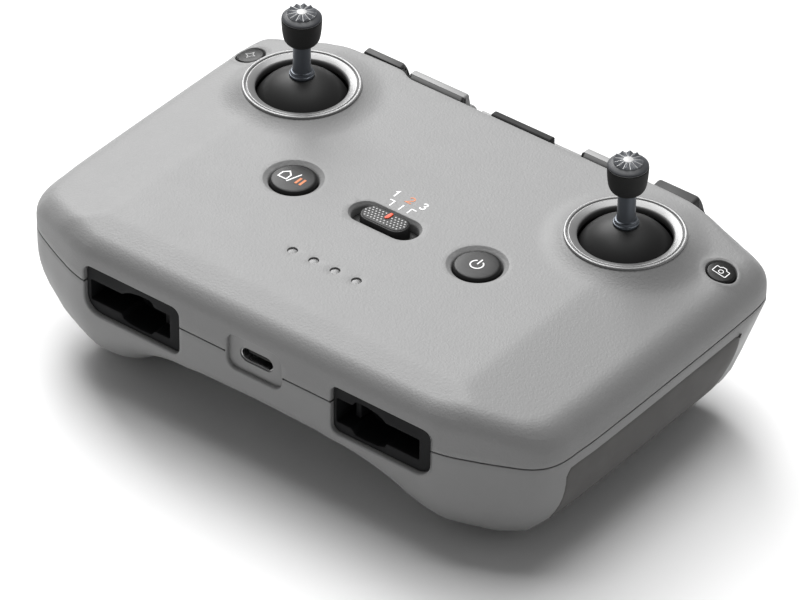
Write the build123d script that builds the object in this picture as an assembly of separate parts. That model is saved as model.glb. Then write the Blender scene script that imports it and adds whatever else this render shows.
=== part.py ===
"""Two-stick radio transmitter for a camera drone, with a pull-out phone holder.

Frame: millimetres, +Z up, +Y away from the user, X = 0 the plane of symmetry.
The origin is on the table, under the middle of the body.
"""

import math
import os

from build123d import *

os.makedirs("parts", exist_ok=True)

# ---------------------------------------------------------------- driving dimensions
WIDTH = 150.0
DEPTH = 104.2
TOP_Z = 43.0            # flat plateau of the top face
SEAM_Z = 30.15          # joint between the upper and the lower shell
BELLY_Z = 17.8          # underside between the two grips
WALL = 2.4

HALF = WIDTH / 2
FRONT_Y = -DEPTH / 2
HEAD_REAR_Y = DEPTH / 2
LIP_TOP_Z = 41.2
BEAM_TOP_Z = 37.0
REAR_Y = 44.0           # rear wall of the shells beside the phone slot
SLOT_WALL_Y = 42.3      # rear wall of the shells at the phone slot

CREASE_X = 50.0         # where the plateau folds down to the side facets
CREASE_Y = -41.6        # and to the front facet
SIDE_SLOPE = 10.5
FRONT_SLOPE = 12.0
EDGE_R = 4.0            # rounding along the front and the sides
CREASE_R = 15.0         # rounding of the crease towards each front corner

GRIP_SIDE_R = 26.5
GRIP_FRONT_R = 22.5
BELLY_EDGE_R = 5.2

STICK_X = 46.2
STICK_Y = 22.0
PIVOT_Z = 35.6
RING_TOP = 45.3
STICK_TOP = 65.2
DOME_R = 12.4
DOME_TOP = 12.0         # flat on the dome that carries the stick, above the pivot

BUTTON_X = 26.1
BUTTON_Y = -5.8
SIDE_BUTTON_X = 67.4
SIDE_BUTTON_Y = 29.2
SWITCH_Y = -5.7
LED_Y = -27.3
LED_PITCH = 6.02

SLOT_X = (21.5, 49.1)   # stick storage windows in the front wall
SLOT_Z = (22.2, 34.9)
SLOT_FACE_Y = FRONT_Y + 1.0
RIGHT_STORE_X = 22.4    # inner ends of the two stored sticks
LEFT_STORE_X = 25.0
STORE_Z = 28.0
STORE_Y = (-60.0, -40.5)    # depth of the stick-shaped hollow
TRAY_REAR_Y = -38.4

PORT_Z = 30.9
PORT_FACE_Y = FRONT_Y + 1.0

DIAL_Y = 38.9
DIAL_Z = 32.5
DIAL_R = 12.5
DIAL_X = (35.7, 47.8)
DIAL_HALF_ANGLE = 38.0

BOARD_Z = (28.4, 29.6)
PANEL_Z = (34.4, 35.4)  # control board under the buttons

CELL_R = 9.2
CELL_X = 52.0
CELL_Y = (-36.0, 29.0)
CELL_Z = 13.9

SCREWS = [(-16.5, -43.0), (16.5, -43.0), (-24.0, 34.0), (24.0, 34.0)]


# ---------------------------------------------------------------- helpers
def block(x, y, z):
    """Box from three (low, high) pairs."""
    sizes = [high - low for low, high in (x, y, z)]
    middle = [(high + low) / 2 for low, high in (x, y, z)]
    return Pos(*middle) * Box(*sizes)


def rod(x, y, z, radius):
    """Upright cylinder from z[0] to z[1]."""
    return Pos(x, y, (z[0] + z[1]) / 2) * Cylinder(radius, z[1] - z[0])


def rod_x(x, y, z, radius):
    """Cylinder along X from x[0] to x[1]."""
    return Pos((x[0] + x[1]) / 2, y, z) * Rot(0, 90, 0) * Cylinder(radius, x[1] - x[0])


def rod_y(x, y, z, radius):
    """Cylinder along Y from y[0] to y[1]."""
    return Pos(x, (y[0] + y[1]) / 2, z) * Rot(90, 0, 0) * Cylinder(radius, y[1] - y[0])


def turned(points):
    """Solid of revolution about Z from (radius, z) points."""
    return revolve(make_face(Plane.XZ * Polyline(*points, close=True)), Axis.Z)


def mirrored(shape):
    return mirror(shape, about=Plane.YZ)


def slab_x(profile, x):
    """Extrude a (y, z) face from x[0] to x[1]."""
    return extrude(Plane.YZ.offset(x[0]) * profile, x[1] - x[0])


def slab_y(profile, y):
    """Extrude an (x, z) face from y[0] to y[1]."""
    return extrude(Plane.XZ.offset(-y[0]) * profile, -(y[1] - y[0]))


def stadium(length, width, z):
    face = SlotOverall(length, width)
    return Pos(0, 0, z[0]) * extrude(face, z[1] - z[0])


def save(name, shape):
    solids = shape.solids()
    part = solids[0] if len(solids) == 1 else Compound(children=list(solids))
    part.label = name
    export_step(part, f"parts/{name}.step")


def save_pair(name, right):
    """Write a right-hand part and its mirror image as two nodes."""
    save(f"right_{name}", right)
    save(f"left_{name}", mirrored(right))


def save_both(name, right):
    """Write a right-hand part and its mirror image as one node of two solids."""
    save(name, Compound(children=[*right.solids(), *mirrored(right).solids()]))


# ---------------------------------------------------------------- shell bodies
def plan_outline(inset):
    """Outline of the shells seen from above, drawn in from the seam by the inset."""
    side = TangentArc((HALF, 20), (73.8, 34.5), tangent=(0, 1))
    corner = TangentArc(side @ 1, (67.3, 41.0), tangent=side % 1)
    rear = TangentArc(corner @ 1, (50, REAR_Y), tangent=corner % 1)
    half = Curve() + [
        Line((0, FRONT_Y), (50, FRONT_Y)),
        ThreePointArc((50, FRONT_Y), (60.3, -48.5), (68.6, -44.2)),
        TangentArc((HALF, -32), (68.6, -44.2), tangent=(0, -1)),
        Line((HALF, -32), (HALF, 20)),
        side,
        corner,
        rear,
        Line((50, REAR_Y), (33.5, REAR_Y)),
        Line((33.5, REAR_Y), (29.5, SLOT_WALL_Y)),
        Line((29.5, SLOT_WALL_Y), (0, SLOT_WALL_Y)),
    ]
    face = make_face(half + mirror(half, about=Plane.YZ))
    if inset == 0:
        return face
    middle = (FRONT_Y + REAR_Y) / 2
    half_depth = (REAR_Y - FRONT_Y) / 2
    shrink = ((HALF - inset) / HALF, (half_depth - inset) / half_depth, 1)
    return Pos(0, middle, 0) * scale(Pos(0, -middle, 0) * face, by=shrink)


def roof_cut(inset):
    """What lies above the plateau and its facets, lowered by the inset."""
    top = TOP_Z - inset
    big = 200.0
    flat = block((-big, big), (-big, big), (top, top + 50))
    side = Pos(CREASE_X, 0, top) * Rot(0, SIDE_SLOPE, 0) * Pos(0, 0, 25) * Box(big, big, 50)
    front = Pos(0, CREASE_Y, top) * Rot(FRONT_SLOPE, 0, 0) * Pos(0, 0, 25) * Box(big, big, 50)
    side = side & block((CREASE_X, big), (-big, big), (-big, big))
    front = front & block((-big, big), (-big, CREASE_Y), (-big, big))
    return flat + side + mirrored(side) + front


def upper_body(inset):
    prism = Pos(0, 0, SEAM_Z) * extrude(plan_outline(inset), TOP_Z + 2 - SEAM_Z)
    return prism - roof_cut(inset)


def grip_front_view(t):
    """Right-hand grip seen from the front, as (x, z), inset by t."""
    side_r = GRIP_SIDE_R - t
    inner = 24 + t
    side = HALF - t
    return make_face(Curve() + [
        Line((inner, 40), (inner, BELLY_Z)),
        ThreePointArc((inner, BELLY_Z), (30.5 + 0.7 * t, 14.4 + 0.7 * t), (36 + 0.8 * t, 8.6 + 0.6 * t)),
        ThreePointArc((36 + 0.8 * t, 8.6 + 0.6 * t), (40.6 + 0.7 * t, 3.2 + 0.7 * t), (48, t)),
        Line((48, t), (side - side_r, t)),
        TangentArc((side - side_r, t), (side, t + side_r), tangent=(1, 0)),
        Line((side, t + side_r), (side, 40)),
        Line((side, 40), (inner, 40)),
    ])


def grip_side_view(t):
    """Grip seen from the side, as (y, z), inset by t."""
    front_r = GRIP_FRONT_R - t
    front = FRONT_Y + t
    rear = REAR_Y + 0.2 - t
    return make_face(Curve() + [
        Line((front, 40), (front, t + front_r)),
        TangentArc((front + front_r, t), (front, t + front_r), tangent=(-1, 0)),
        Line((front + front_r, t), (24 - 0.5 * t, t)),
        ThreePointArc((24 - 0.5 * t, t), (32.2 - 0.9 * t, 2.6 + 0.8 * t), (36.9 - t, 8)),
        Line((36.9 - t, 8), (rear, SEAM_Z)),
        Line((rear, SEAM_Z), (rear, 40)),
        Line((rear, 40), (front, 40)),
    ])


def belly_side_view(t):
    """Middle of the lower shell seen from the side, as (y, z), inset by t."""
    edge = BELLY_EDGE_R - t
    front = FRONT_Y + t
    rear = REAR_Y + 0.2 - t
    base = BELLY_Z + t
    return make_face(Curve() + [
        Line((front, 40), (front, base + edge)),
        TangentArc((front + edge, base), (front, base + edge), tangent=(-1, 0)),
        Line((front + edge, base), (31, base)),
        ThreePointArc((31, base), (37.4 - t, 19.8 + t), (40.4 - t, 23.0)),
        Line((40.4 - t, 23.0), (rear, SEAM_Z)),
        Line((rear, SEAM_Z), (rear, 40)),
        Line((rear, 40), (front, 40)),
    ])


def lower_body(inset):
    prism = extrude(plan_outline(inset), SEAM_Z)
    grip = slab_y(grip_front_view(inset), (FRONT_Y, 60))
    grip = grip & slab_x(grip_side_view(inset), (-100, 100))
    belly = slab_x(belly_side_view(inset), (-60, 60))
    return prism & (belly + grip + mirrored(grip))


def rounded_upper_body():
    """Outer body of the upper shell, with soft front creases and rounded top edges."""
    body = upper_body(0)
    top_corners = [Vertex(x, CREASE_Y, TOP_Z) for x in (-CREASE_X, CREASE_X)]

    def is_front_crease(edge):
        low = min((edge @ 0).Z, (edge @ 1).Z)
        return low < TOP_Z - 0.5 and min(edge.distance_to(v) for v in top_corners) < 0.01

    body = fillet([e for e in body.edges() if is_front_crease(e)], CREASE_R)
    walls = plan_outline(0).edges()

    def is_rim(edge):
        middle = edge @ 0.5
        foot = Vertex(middle.X, middle.Y, 0)
        above_seam = min((edge @ 0).Z, (edge @ 1).Z) > SEAM_Z + 0.1
        at_rear = middle.Y > REAR_Y - 2 and abs(middle.X) < CREASE_X + 1
        return above_seam and not at_rear and min(w.distance_to(foot) for w in walls) < 0.05

    return fillet([e for e in body.edges() if is_rim(e)], EDGE_R)


# ---------------------------------------------------------------- openings in the shells
def stick_place(shape):
    return Pos(STICK_X, STICK_Y, 0) * shape


def side_button_place(shape):
    """From a frame whose Z = 0 is the facet, to the right-hand side facet."""
    drop = (SIDE_BUTTON_X - CREASE_X) * math.tan(math.radians(SIDE_SLOPE))
    return Pos(SIDE_BUTTON_X, SIDE_BUTTON_Y, TOP_Z - drop) * Rot(0, SIDE_SLOPE, 0) * shape


def dial_sector(radius, half_angle, x):
    """Pie-shaped solid about the dial's axle, opening towards the rear."""
    reach = math.radians(half_angle)
    tip = (DIAL_Y + radius * math.cos(reach), DIAL_Z + radius * math.sin(reach))
    foot = (tip[0], DIAL_Z - radius * math.sin(reach))
    face = make_face(Curve() + [
        Line((DIAL_Y, DIAL_Z), tip),
        ThreePointArc(tip, (DIAL_Y + radius, DIAL_Z), foot),
        Line(foot, (DIAL_Y, DIAL_Z)),
    ])
    return slab_x(face, x)


def dial_window():
    return block((DIAL_X[0] - 0.5, DIAL_X[1] + 0.5), (37.0, 50.0), (24.4, 40.4))


def slot_prism(gap, y):
    """Rounded block that fills a stick storage window, less a gap all round."""
    low = (SLOT_X[0] + gap, SLOT_Z[0] + gap)
    high = (SLOT_X[1] - gap, SLOT_Z[1] - gap)
    outer_low = (high[0], low[1], 0)
    face = make_face(Polyline(low, outer_low[:2], high, (low[0], high[1]), close=True))
    face = fillet(face.vertices().sort_by_distance(outer_low)[1:], 2.0)
    face = fillet(face.vertices().sort_by_distance(outer_low)[0], 4.2)
    return slab_y(face, y)


def port_pocket():
    pocket = slab_y(Pos(0, PORT_Z) * RectangleRounded(15.4, 9.2, 2.4), (FRONT_Y - 1, PORT_FACE_Y))
    mouth = slab_y(Pos(0, PORT_Z) * RectangleRounded(9.3, 3.6, 1.75), (FRONT_Y - 1, FRONT_Y + 5))
    return pocket + mouth


def grip_pad_region():
    """Side region of the right grip that the rubber pad covers."""
    face = Pos(-4.9, 12.0) * RectangleRounded(64.6, 32.0, 3.5)
    return slab_x(face, (52, 80))


def outside_cuts():
    """Everything that is cut out of both shells from the outside."""
    right = slot_prism(0, (FRONT_Y - 1, FRONT_Y + 12)) + dial_window()
    return right + mirrored(right) + port_pocket()


# ---------------------------------------------------------------- shells
def make_upper_shell(outer, cavity):
    shell = outer - cavity
    collar = turned([
        (12.9, 38.0), (15.2, 38.0), (15.2, 41.0), (18.5, 42.6), (14.6, 43.9), (12.9, 43.9),
    ])
    shell = shell + stick_place(collar) + mirrored(stick_place(collar))
    bore = stick_place(rod(0, 0, (30, 50), 12.9))
    shell = shell - bore - mirrored(bore)
    for x, y in SCREWS:
        post = rod(x, y, (SEAM_Z, 41.5), 3.0) - rod(x, y, (20, 38), 1.1)
        shell = shell + post
    shell = shell - rod(BUTTON_X, BUTTON_Y, (30, 50), 5.8) - rod(-BUTTON_X, BUTTON_Y, (30, 50), 5.8)
    rim = Pos(0, 0, TOP_Z - 0.45) * Cone(5.8, 7.1, 1.3)
    shell = shell - Pos(BUTTON_X, BUTTON_Y, 0.65) * rim - Pos(-BUTTON_X, BUTTON_Y, 0.65) * rim
    side_bore = side_button_place(Cylinder(3.6, 20))
    shell = shell - side_bore - mirrored(side_bore)
    shell = shell - Pos(0, SWITCH_Y, 0) * stadium(17.7, 6.9, (30, 50))
    shell = shell - Pos(0, SWITCH_Y, 0) * stadium(19.2, 8.3, (TOP_Z - 0.6, 50))
    for i in range(4):
        shell = shell - rod((i - 1.5) * LED_PITCH, LED_Y, (30, 50), 1.2)
    shell = shell - outside_cuts()
    return shell - block((-17.2, 17.2), (35, 50), (SEAM_Z - 1, 34.7))


def make_lower_shell(outer, cavity, pads):
    shell = outer - cavity - outside_cuts()
    for x, y in SCREWS:
        boss = rod(x, y, (BELLY_Z + 1, SEAM_Z), 3.2) & outer
        shell = shell + boss
        shell = shell - rod(x, y, (10, 24.5), 2.3) - rod(x, y, (24, SEAM_Z + 1), 1.2)
    return shell - pads


def make_grip_pad(outer):
    skin = outer - lower_body(1.3)
    return skin & grip_pad_region()


def make_dial_bezel(upper, lower):
    """Dark frame round the dial or shutter window, behind the light shells."""
    frame = block((34.0, 54.0), (40.5, 44.8), (23.2, 41.4))
    frame = frame - Pos(0, 0.02, 0) * upper - Pos(0, 0.02, 0) * lower - dial_window()
    return frame & block((34.0, 54.0), (44.02, 46), (20, 45))


# ---------------------------------------------------------------- stick units
def make_stick_ring():
    """Metal trim ring whose inside slopes down towards the dome."""
    return stick_place(turned([
        (13.2, 43.9), (13.93, 44.4), (13.93, 44.95), (13.6, RING_TOP), (13.1, RING_TOP),
        (10.95, 44.2), (10.78, 43.9), (10.9, 43.4), (12.6, 43.2), (12.6, 41.2), (12.8, 41.2),
        (12.8, 43.9),
    ]))


def make_gimbal_frame():
    plate = block((-15, 15), (-15, 15), (23.6, 25.4)) - rod(0, 0, (20, 30), 5)
    frame = plate
    for x in (-13.2, 13.2):
        for y in (-13.2, 13.2):
            frame = frame + block((x - 1.6, x + 1.6), (y - 1.6, y + 1.6), (25.4, 34.5))
    for side in (-1, 1):
        x = sorted((side * 7.4, side * 9.2))
        cheek = block(x, (-2.4, 2.4), (25.4, 37.6)) - rod_x((-10, 10), 0, PIVOT_Z, 1.05)
        frame = frame + cheek
    return stick_place(frame)


def make_gimbal_yoke():
    """Inner frame that tips on two pins along X."""
    yoke = block((-6.6, 6.6), (-5.6, 5.6), (PIVOT_Z - 2, PIVOT_Z + 2))
    yoke = yoke - block((-4.6, 4.6), (-3.4, 3.4), (20, 50))
    yoke = yoke + rod_x((6.0, 10.9), 0, PIVOT_Z, 1.0) + rod_x((-10.9, -6.0), 0, PIVOT_Z, 1.0)
    return stick_place(yoke - rod_y(0, (-6, 6), PIVOT_Z, 1.05))


def make_gimbal_post():
    """Upright that carries the dome and tips on a pin along Y."""
    post = turned([(0, 30.2), (1.9, 30.2), (1.9, 46.2), (1.25, 46.2), (1.25, 52.0), (0, 52.0)])
    return stick_place(post + rod_y(0, (-5.6, 5.6), PIVOT_Z, 1.0))


def make_magnet():
    return stick_place(rod(0, 0, (28.6, 30.2), 1.8))


def make_sensor():
    """Position sensor chip and its small board under the post."""
    board = block((-6, 6), (-6, 6), (25.5, 26.3))
    return stick_place(board + block((-1.6, 1.6), (-1.4, 1.4), (26.3, 27.1)))


def make_return_spring():
    """Close-wound coil on the yoke's pin, outside the cheek."""
    coils = [Pos(9.5 + i * 0.4, 0, PIVOT_Z) * Rot(0, 90, 0) * Torus(1.5, 0.21) for i in range(4)]
    return stick_place(coils[0] + coils[1:])


def make_dome():
    """Thin spherical cover that hides the gimbal at every stick angle."""
    ball = Sphere(DOME_R) - Sphere(DOME_R - 1.0)
    cap = ball & block((-20, 20), (-20, 20), (-0.4, DOME_TOP))
    hub = rod(0, 0, (9.8, DOME_TOP), 3.1)
    dome = cap + hub - rod(0, 0, (9, 10.7), 1.92) - rod(0, 0, (10, 20), 1.27)
    return stick_place(Pos(0, 0, PIVOT_Z) * dome)


def make_stick_shaft():
    """Removable stick with a collar that sits on the dome."""
    foot = PIVOT_Z + DOME_TOP
    return stick_place(turned([
        (1.27, foot), (2.85, foot), (2.85, foot + 0.5), (2.5, foot + 0.9), (2.08, foot + 1.1),
        (2.08, 63.8), (0, 63.8), (0, 52.1), (1.27, 52.1),
    ]))


def make_stick_knob():
    """Rubber cup round the top of the shaft."""
    return stick_place(turned([
        (2.1, 56.5), (2.9, 56.5), (3.7, 57.1), (4.3, 58.2), (4.6, 60.0), (4.7, 62.0), (4.65, 63.4),
        (4.2, 63.9), (3.4, 64.2), (2.1, 64.2),
    ]))


def make_stick_crown():
    """Serrated metal tip with twelve radial teeth."""
    crown = turned([(0, 63.9), (2.0, 63.9), (2.0, 64.3), (3.3, 64.3), (3.3, 64.5), (0, 64.8)])
    profile = make_face(Polyline((-0.62, 64.35), (0.62, 64.35), (0, STICK_TOP), close=True))
    tooth = slab_x(profile, (1.3, 3.2))
    for i in range(12):
        crown = crown + Rot(0, 0, i * 30) * tooth
    return stick_place(crown + rod(0, 0, (64.4, 65.05), 1.25))


# ---------------------------------------------------------------- buttons and lights
def round_button(radius, flange, top, flange_top, foot):
    """Button cap with a retaining flange and a stem, on the Z axis."""
    return turned([
        (0, foot), (1.5, foot), (1.5, flange_top - 1.0), (flange, flange_top - 1.0),
        (flange, flange_top), (radius, flange_top), (radius, top - 0.5),
        (radius - 0.5, top), (0, top + 0.35),
    ])


def make_face_button():
    return Pos(BUTTON_X, BUTTON_Y, 0) * round_button(5.4, 6.5, TOP_Z, TOP_Z - WALL - 0.3, 37.4)


def make_side_button():
    return side_button_place(round_button(3.3, 3.9, 0.3, -WALL - 0.3, -5.4))


def make_side_switch():
    """Tactile switch on its own small board under a side button."""
    board = block((-3.2, 3.2), (-3.2, 3.2), (-8.0, -7.2))
    return side_button_place(board + block((-2.2, 2.2), (-2.2, 2.2), (-7.2, -6.0)))


def make_tact_switches():
    z = (PANEL_Z[1], PANEL_Z[1] + 1.5)
    y = (BUTTON_Y - 2.3, BUTTON_Y + 2.3)
    return block((BUTTON_X - 2.3, BUTTON_X + 2.3), y, z)


def make_mode_knob():
    cap = stadium(12.7, 6.0, (39.6, 43.6))
    wiper = block((-1.2, 1.2), (-1.0, 1.0), (38.3, 41.6))
    shoe = stadium(22.6, 8.2, (39.5, 40.3))
    return Pos(0, SWITCH_Y, 0) * (cap + wiper + shoe)


def make_mode_switch_body():
    base = block((-7, 7), (-3, 3), (PANEL_Z[1], 38.9))
    slot = block((-4.4, 4.4), (-1.4, 1.4), (37.6, 40))
    return Pos(0, SWITCH_Y, 0) * (base - slot)


def make_led_pipes():
    pipes = [rod((i - 1.5) * LED_PITCH, LED_Y, (36.3, TOP_Z), 1.1) for i in range(4)]
    return Compound(children=pipes)


def make_leds():
    chips = []
    for i in range(4):
        x = (i - 1.5) * LED_PITCH
        chips.append(block((x - 0.8, x + 0.8), (LED_Y - 0.5, LED_Y + 0.5), (PANEL_Z[1], 36.1)))
    return Compound(children=chips)


def make_control_board():
    board = block((-34, 34), (-34, 4), PANEL_Z)
    for x in (-24.5, 24.5):
        board = board - rod(x, -20, (30, 40), 1.3)
    return board


# ---------------------------------------------------------------- electronics
def make_main_board():
    board = block((-61, 61), (-37.5, 5), BOARD_Z) + block((-29, 29), (4, 29), BOARD_Z)
    board = board + block((-9, 9), (-49, -37), BOARD_Z) - block((-4.7, 4.7), (-50, -42.6), BOARD_Z)
    chips = block((22, 32), (-20, -10), (29.6, 31.2)) + block((-38, -26), (-28, -16), (29.6, 30.9))
    return board + chips + block((-50, -42), (-30, -24), (29.6, 31.0))


def make_port_shell():
    front = PORT_FACE_Y + 0.8
    tube = slab_y(Pos(0, PORT_Z) * RectangleRounded(8.9, 3.2, 1.5), (front, front + 7.4))
    return tube - slab_y(Pos(0, PORT_Z) * RectangleRounded(8.3, 2.6, 1.25), (front - 1, front + 6.8))


def make_port_tongue():
    front = PORT_FACE_Y + 0.8
    return block((-3.3, 3.3), (front + 1.0, front + 6.8), (PORT_Z - 0.35, PORT_Z + 0.35))


def make_battery_cell():
    return rod_y(CELL_X, CELL_Y, CELL_Z, CELL_R)


def make_battery_cradle():
    """Saddle that holds a cell down in the grip."""
    pair = block((44, 60), (-24, -18), (21.5, 26)) + block((44, 60), (0, 5), (21.5, 26))
    pair = pair - rod_y(CELL_X, (-50, 50), CELL_Z, CELL_R + 0.05)
    return pair - block((40, 65), (-30, 30), (26, 30))


def stored_stick(start, z):
    """Half outline of a stored stick: its crown, its knob and its shaft."""
    crown, bulge, shaft = 3.2, 4.5, 2.7
    upper = Curve() + [
        Line((start, z), (start, z + crown)),
        Line((start, z + crown), (start + 3.9, z + crown)),
        Line((start + 3.9, z + crown), (start + 5.0, z + bulge)),
        ThreePointArc((start + 5.0, z + bulge), (start + 9.5, z + bulge), (start + 13.2, z + shaft)),
        Line((start + 13.2, z + shaft), (start + 22.9, z + shaft)),
        Line((start + 22.9, z + shaft), (start + 22.9, z)),
    ]
    face = make_face(upper + Line((start + 22.9, z), (start, z)))
    return face + Pos(0, 2 * z, 0) * mirror(face, about=Plane.XZ)


def make_slot_insert(start):
    """Dark tray behind the front wall, hollowed for a stick that lies on its side."""
    flange = slab_y(Pos(sum(SLOT_X) / 2, sum(SLOT_Z) / 2) * Rectangle(29.0, 14.4), (-49.0, -47.6))
    body = slot_prism(0.1, (SLOT_FACE_Y, TRAY_REAR_Y))
    return body + flange - slab_y(stored_stick(start, STORE_Z), STORE_Y)


# ---------------------------------------------------------------- phone holder
def make_holder_rails():
    rail = block((16.6, 19.0), (-36, 38), (30.4, 34.2))
    rail = rail + block((14.8, 16.7), (-36, 38), (30.0, 30.4))
    return rail + mirrored(rail)


def make_holder_stage():
    """Middle slide: a channel between the rails and the arm."""
    tray = block((-16.3, 16.3), (-34, 41.0), (30.7, 31.8))
    side = block((14.8, 16.3), (-34, 41.0), (31.8, 34.0))
    return tray + side + mirrored(side)


def make_holder_arm():
    arm = block((-14.5, 14.5), (-31, 46.5), (32.1, 34.0))
    for y in (-20, -5, 10, 25):
        arm = arm - block((-9, 9), (y - 5, y + 5), (33.2, 35))
    return arm


def head_profile():
    """Holder head seen from the side, as (y, z), up to the top of its lips."""
    return make_face(Curve() + [
        Line((44.6, 24.5), (44.6, 36)),
        Line((44.6, 36), (45.3, LIP_TOP_Z)),
        Line((45.3, LIP_TOP_Z), (46.35, LIP_TOP_Z)),
        TangentArc((46.35, LIP_TOP_Z), (47.15, 40.4), tangent=(1, 0)),
        Line((47.15, 40.4), (48.0, 37.2)),
        TangentArc((HEAD_REAR_Y, 28), (48.0, 37.2), tangent=(0, 1)),
        Line((HEAD_REAR_Y, 28), (HEAD_REAR_Y, 26)),
        TangentArc((HEAD_REAR_Y, 26), (48, 22), tangent=(0, -1)),
        Line((48, 22), (46.4, 22)),
        Line((46.4, 22), (44.6, 24.5)),
    ])


def make_holder_head():
    """Light grey head whose two raised lips hold the phone and its antennas."""
    lip = slab_x(head_profile(), (17.0, 33.0))
    beam = slab_x(head_profile(), (-17.1, 17.1)) - block((-18, 18), (40, 55), (BEAM_TOP_Z, 45))
    head = lip + mirrored(lip) + beam
    head = head - block((-14.5, 14.5), (40, 46.5), (32.1, 34.0))
    pocket = block((18.5, 31), (46.4, 47.6), (26, 36.5))
    return head - pocket - mirrored(pocket)


def make_antenna():
    return block((18.6, 30.9), (46.5, 47.3), (26.1, 36.4))


def make_lip_pad():
    """Soft facing of a lip, sloping down towards the phone."""
    face = make_face(Polyline((44.58, 30), (44.58, 36), (45.26, 41.0), (44.7, 39.4), (44.1, 36),
                              (44.1, 30), close=True))
    return slab_x(face, (17.4, 31.6))


def make_centre_lip():
    face = make_face(Polyline((44.4, 37.1), (46.2, 37.1), (46.2, 40.6), (45.8, 41.0), (44.3, 41.0),
                              (44.1, 40.8), (44.1, 37.1), close=True))
    return slab_x(face, (-8.5, 8.5))


def make_slot_strip():
    """Rubber strip on the shells' rear wall that the phone's edge rests on."""
    strip = block((-28.5, -18.2), (SLOT_WALL_Y, 42.9), (31.2, 39.5))
    return strip + mirrored(strip)


def make_holder_spring():
    """Constant-force coil that draws the holder in."""
    drum = rod_y(0, (-41.5, -37.2), 24.0, 3.4) - rod_y(0, (-42, -37), 24.0, 1.2)
    return drum + rod_y(0, (-41.5, -37.2), 24.0, 1.2)


# ---------------------------------------------------------------- dial and shutter
def make_gimbal_dial():
    """Sprung tilt dial: a ribbed sector on an axle along X."""
    dial = dial_sector(DIAL_R, DIAL_HALF_ANGLE, DIAL_X)
    dial = dial + rod_x(DIAL_X, DIAL_Y, DIAL_Z, 3.4) - rod_x((30, 55), DIAL_Y, DIAL_Z, 1.05)
    for i in range(-8, 9):
        angle = math.radians(i * 4.2)
        y = DIAL_Y + (DIAL_R + 0.25) * math.cos(angle)
        z = DIAL_Z + (DIAL_R + 0.25) * math.sin(angle)
        dial = dial - rod_x(DIAL_X, y, z, 0.45)
    return mirrored(dial)


def make_dial_axle():
    return mirrored(rod_x((DIAL_X[0] - 1.9, DIAL_X[1] + 1.9), DIAL_Y, DIAL_Z, 1.0))


def make_dial_bracket():
    ear = (37.0, 40.3)
    inner = block((DIAL_X[0] - 1.5, DIAL_X[0] - 0.4), ear, (27.4, 35.5))
    outer = block((DIAL_X[1] + 0.4, DIAL_X[1] + 1.5), ear, (27.4, 35.5))
    bar = block((DIAL_X[0] - 1.5, DIAL_X[1] + 1.5), ear, (27.4, 28.4))
    return mirrored(inner + outer + bar - rod_x((30, 55), DIAL_Y, DIAL_Z, 1.02))


def make_shutter_button():
    body = dial_sector(DIAL_R, DIAL_HALF_ANGLE, (35.8, 47.7)) & block((30, 50), (41.6, 60), (20, 45))
    return body + block((38, 45), (40.3, 41.7), (29, 35))


def make_shutter_switch():
    board = block((36, 47.5), (37.2, 38.0), (28, 36))
    return board + block((39.5, 43.5), (38.0, 39.0), (30.5, 33.5))


# ---------------------------------------------------------------- fasteners
def make_screws():
    screws = []
    for x, y in SCREWS:
        screw = turned([(0, 22.6), (2.0, 22.6), (2.0, 24.5), (1.0, 24.5), (1.0, 35.5), (0, 36)])
        socket = Box(2.4, 0.6, 1.6) + Box(0.6, 2.4, 1.6)
        screws.append(Pos(x, y, 0) * (screw - Pos(0, 0, 22.6) * socket))
    return Compound(children=screws)


def main():
    upper_outer = rounded_upper_body()
    lower_outer = lower_body(0)
    pad = make_grip_pad(lower_outer)
    bezel = make_dial_bezel(upper_body(0), lower_outer)

    save("upper_shell", make_upper_shell(upper_outer, upper_body(WALL)))
    save("lower_shell", make_lower_shell(lower_outer, lower_body(WALL), pad + mirrored(pad)))
    save_pair("grip_pad", pad)
    save("right_slot_insert", make_slot_insert(RIGHT_STORE_X))
    save("left_slot_insert", mirrored(make_slot_insert(LEFT_STORE_X)))
    save("shutter_bezel", bezel)
    save("dial_bezel", mirrored(bezel))
    save("shell_screws", make_screws())

    save_pair("stick_ring", make_stick_ring())
    save_pair("gimbal_frame", make_gimbal_frame())
    save_pair("gimbal_yoke", make_gimbal_yoke())
    save_pair("gimbal_post", make_gimbal_post())
    save_pair("sensor_magnet", make_magnet())
    save_both("stick_sensors", make_sensor())
    save_both("return_springs", make_return_spring())
    save_pair("stick_dome", make_dome())
    save_pair("stick_shaft", make_stick_shaft())
    save_pair("stick_knob", make_stick_knob())
    save_pair("stick_crown", make_stick_crown())

    save("power_button", make_face_button())
    save("home_button", mirrored(make_face_button()))
    save("camera_button", make_side_button())
    save("function_button", mirrored(make_side_button()))
    save_both("side_switches", make_side_switch())
    save_both("tact_switches", make_tact_switches())
    save("mode_knob", make_mode_knob())
    save("mode_switch_body", make_mode_switch_body())
    save("light_pipes", make_led_pipes())
    save("status_leds", make_leds())
    save("control_board", make_control_board())

    save("main_board", make_main_board())
    save("port_shell", make_port_shell())
    save("port_tongue", make_port_tongue())
    save_pair("battery_cell", make_battery_cell())
    save_both("battery_cradles", make_battery_cradle())

    save("holder_rails", make_holder_rails())
    save("holder_stage", make_holder_stage())
    save("holder_arm", make_holder_arm())
    save("holder_head", make_holder_head())
    save_both("antennas", make_antenna())
    save_both("lip_pads", make_lip_pad())
    save("centre_lip", make_centre_lip())
    save("slot_strips", make_slot_strip())
    save("holder_spring", make_holder_spring())

    save("gimbal_dial", make_gimbal_dial())
    save("dial_axle", make_dial_axle())
    save("dial_bracket", make_dial_bracket())
    save("shutter_button", make_shutter_button())
    save("shutter_switch", make_shutter_switch())


if __name__ == "__main__":
    main()
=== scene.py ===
"""Looks of the radio transmitter controller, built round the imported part. Lengths are in millimetres."""

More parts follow.
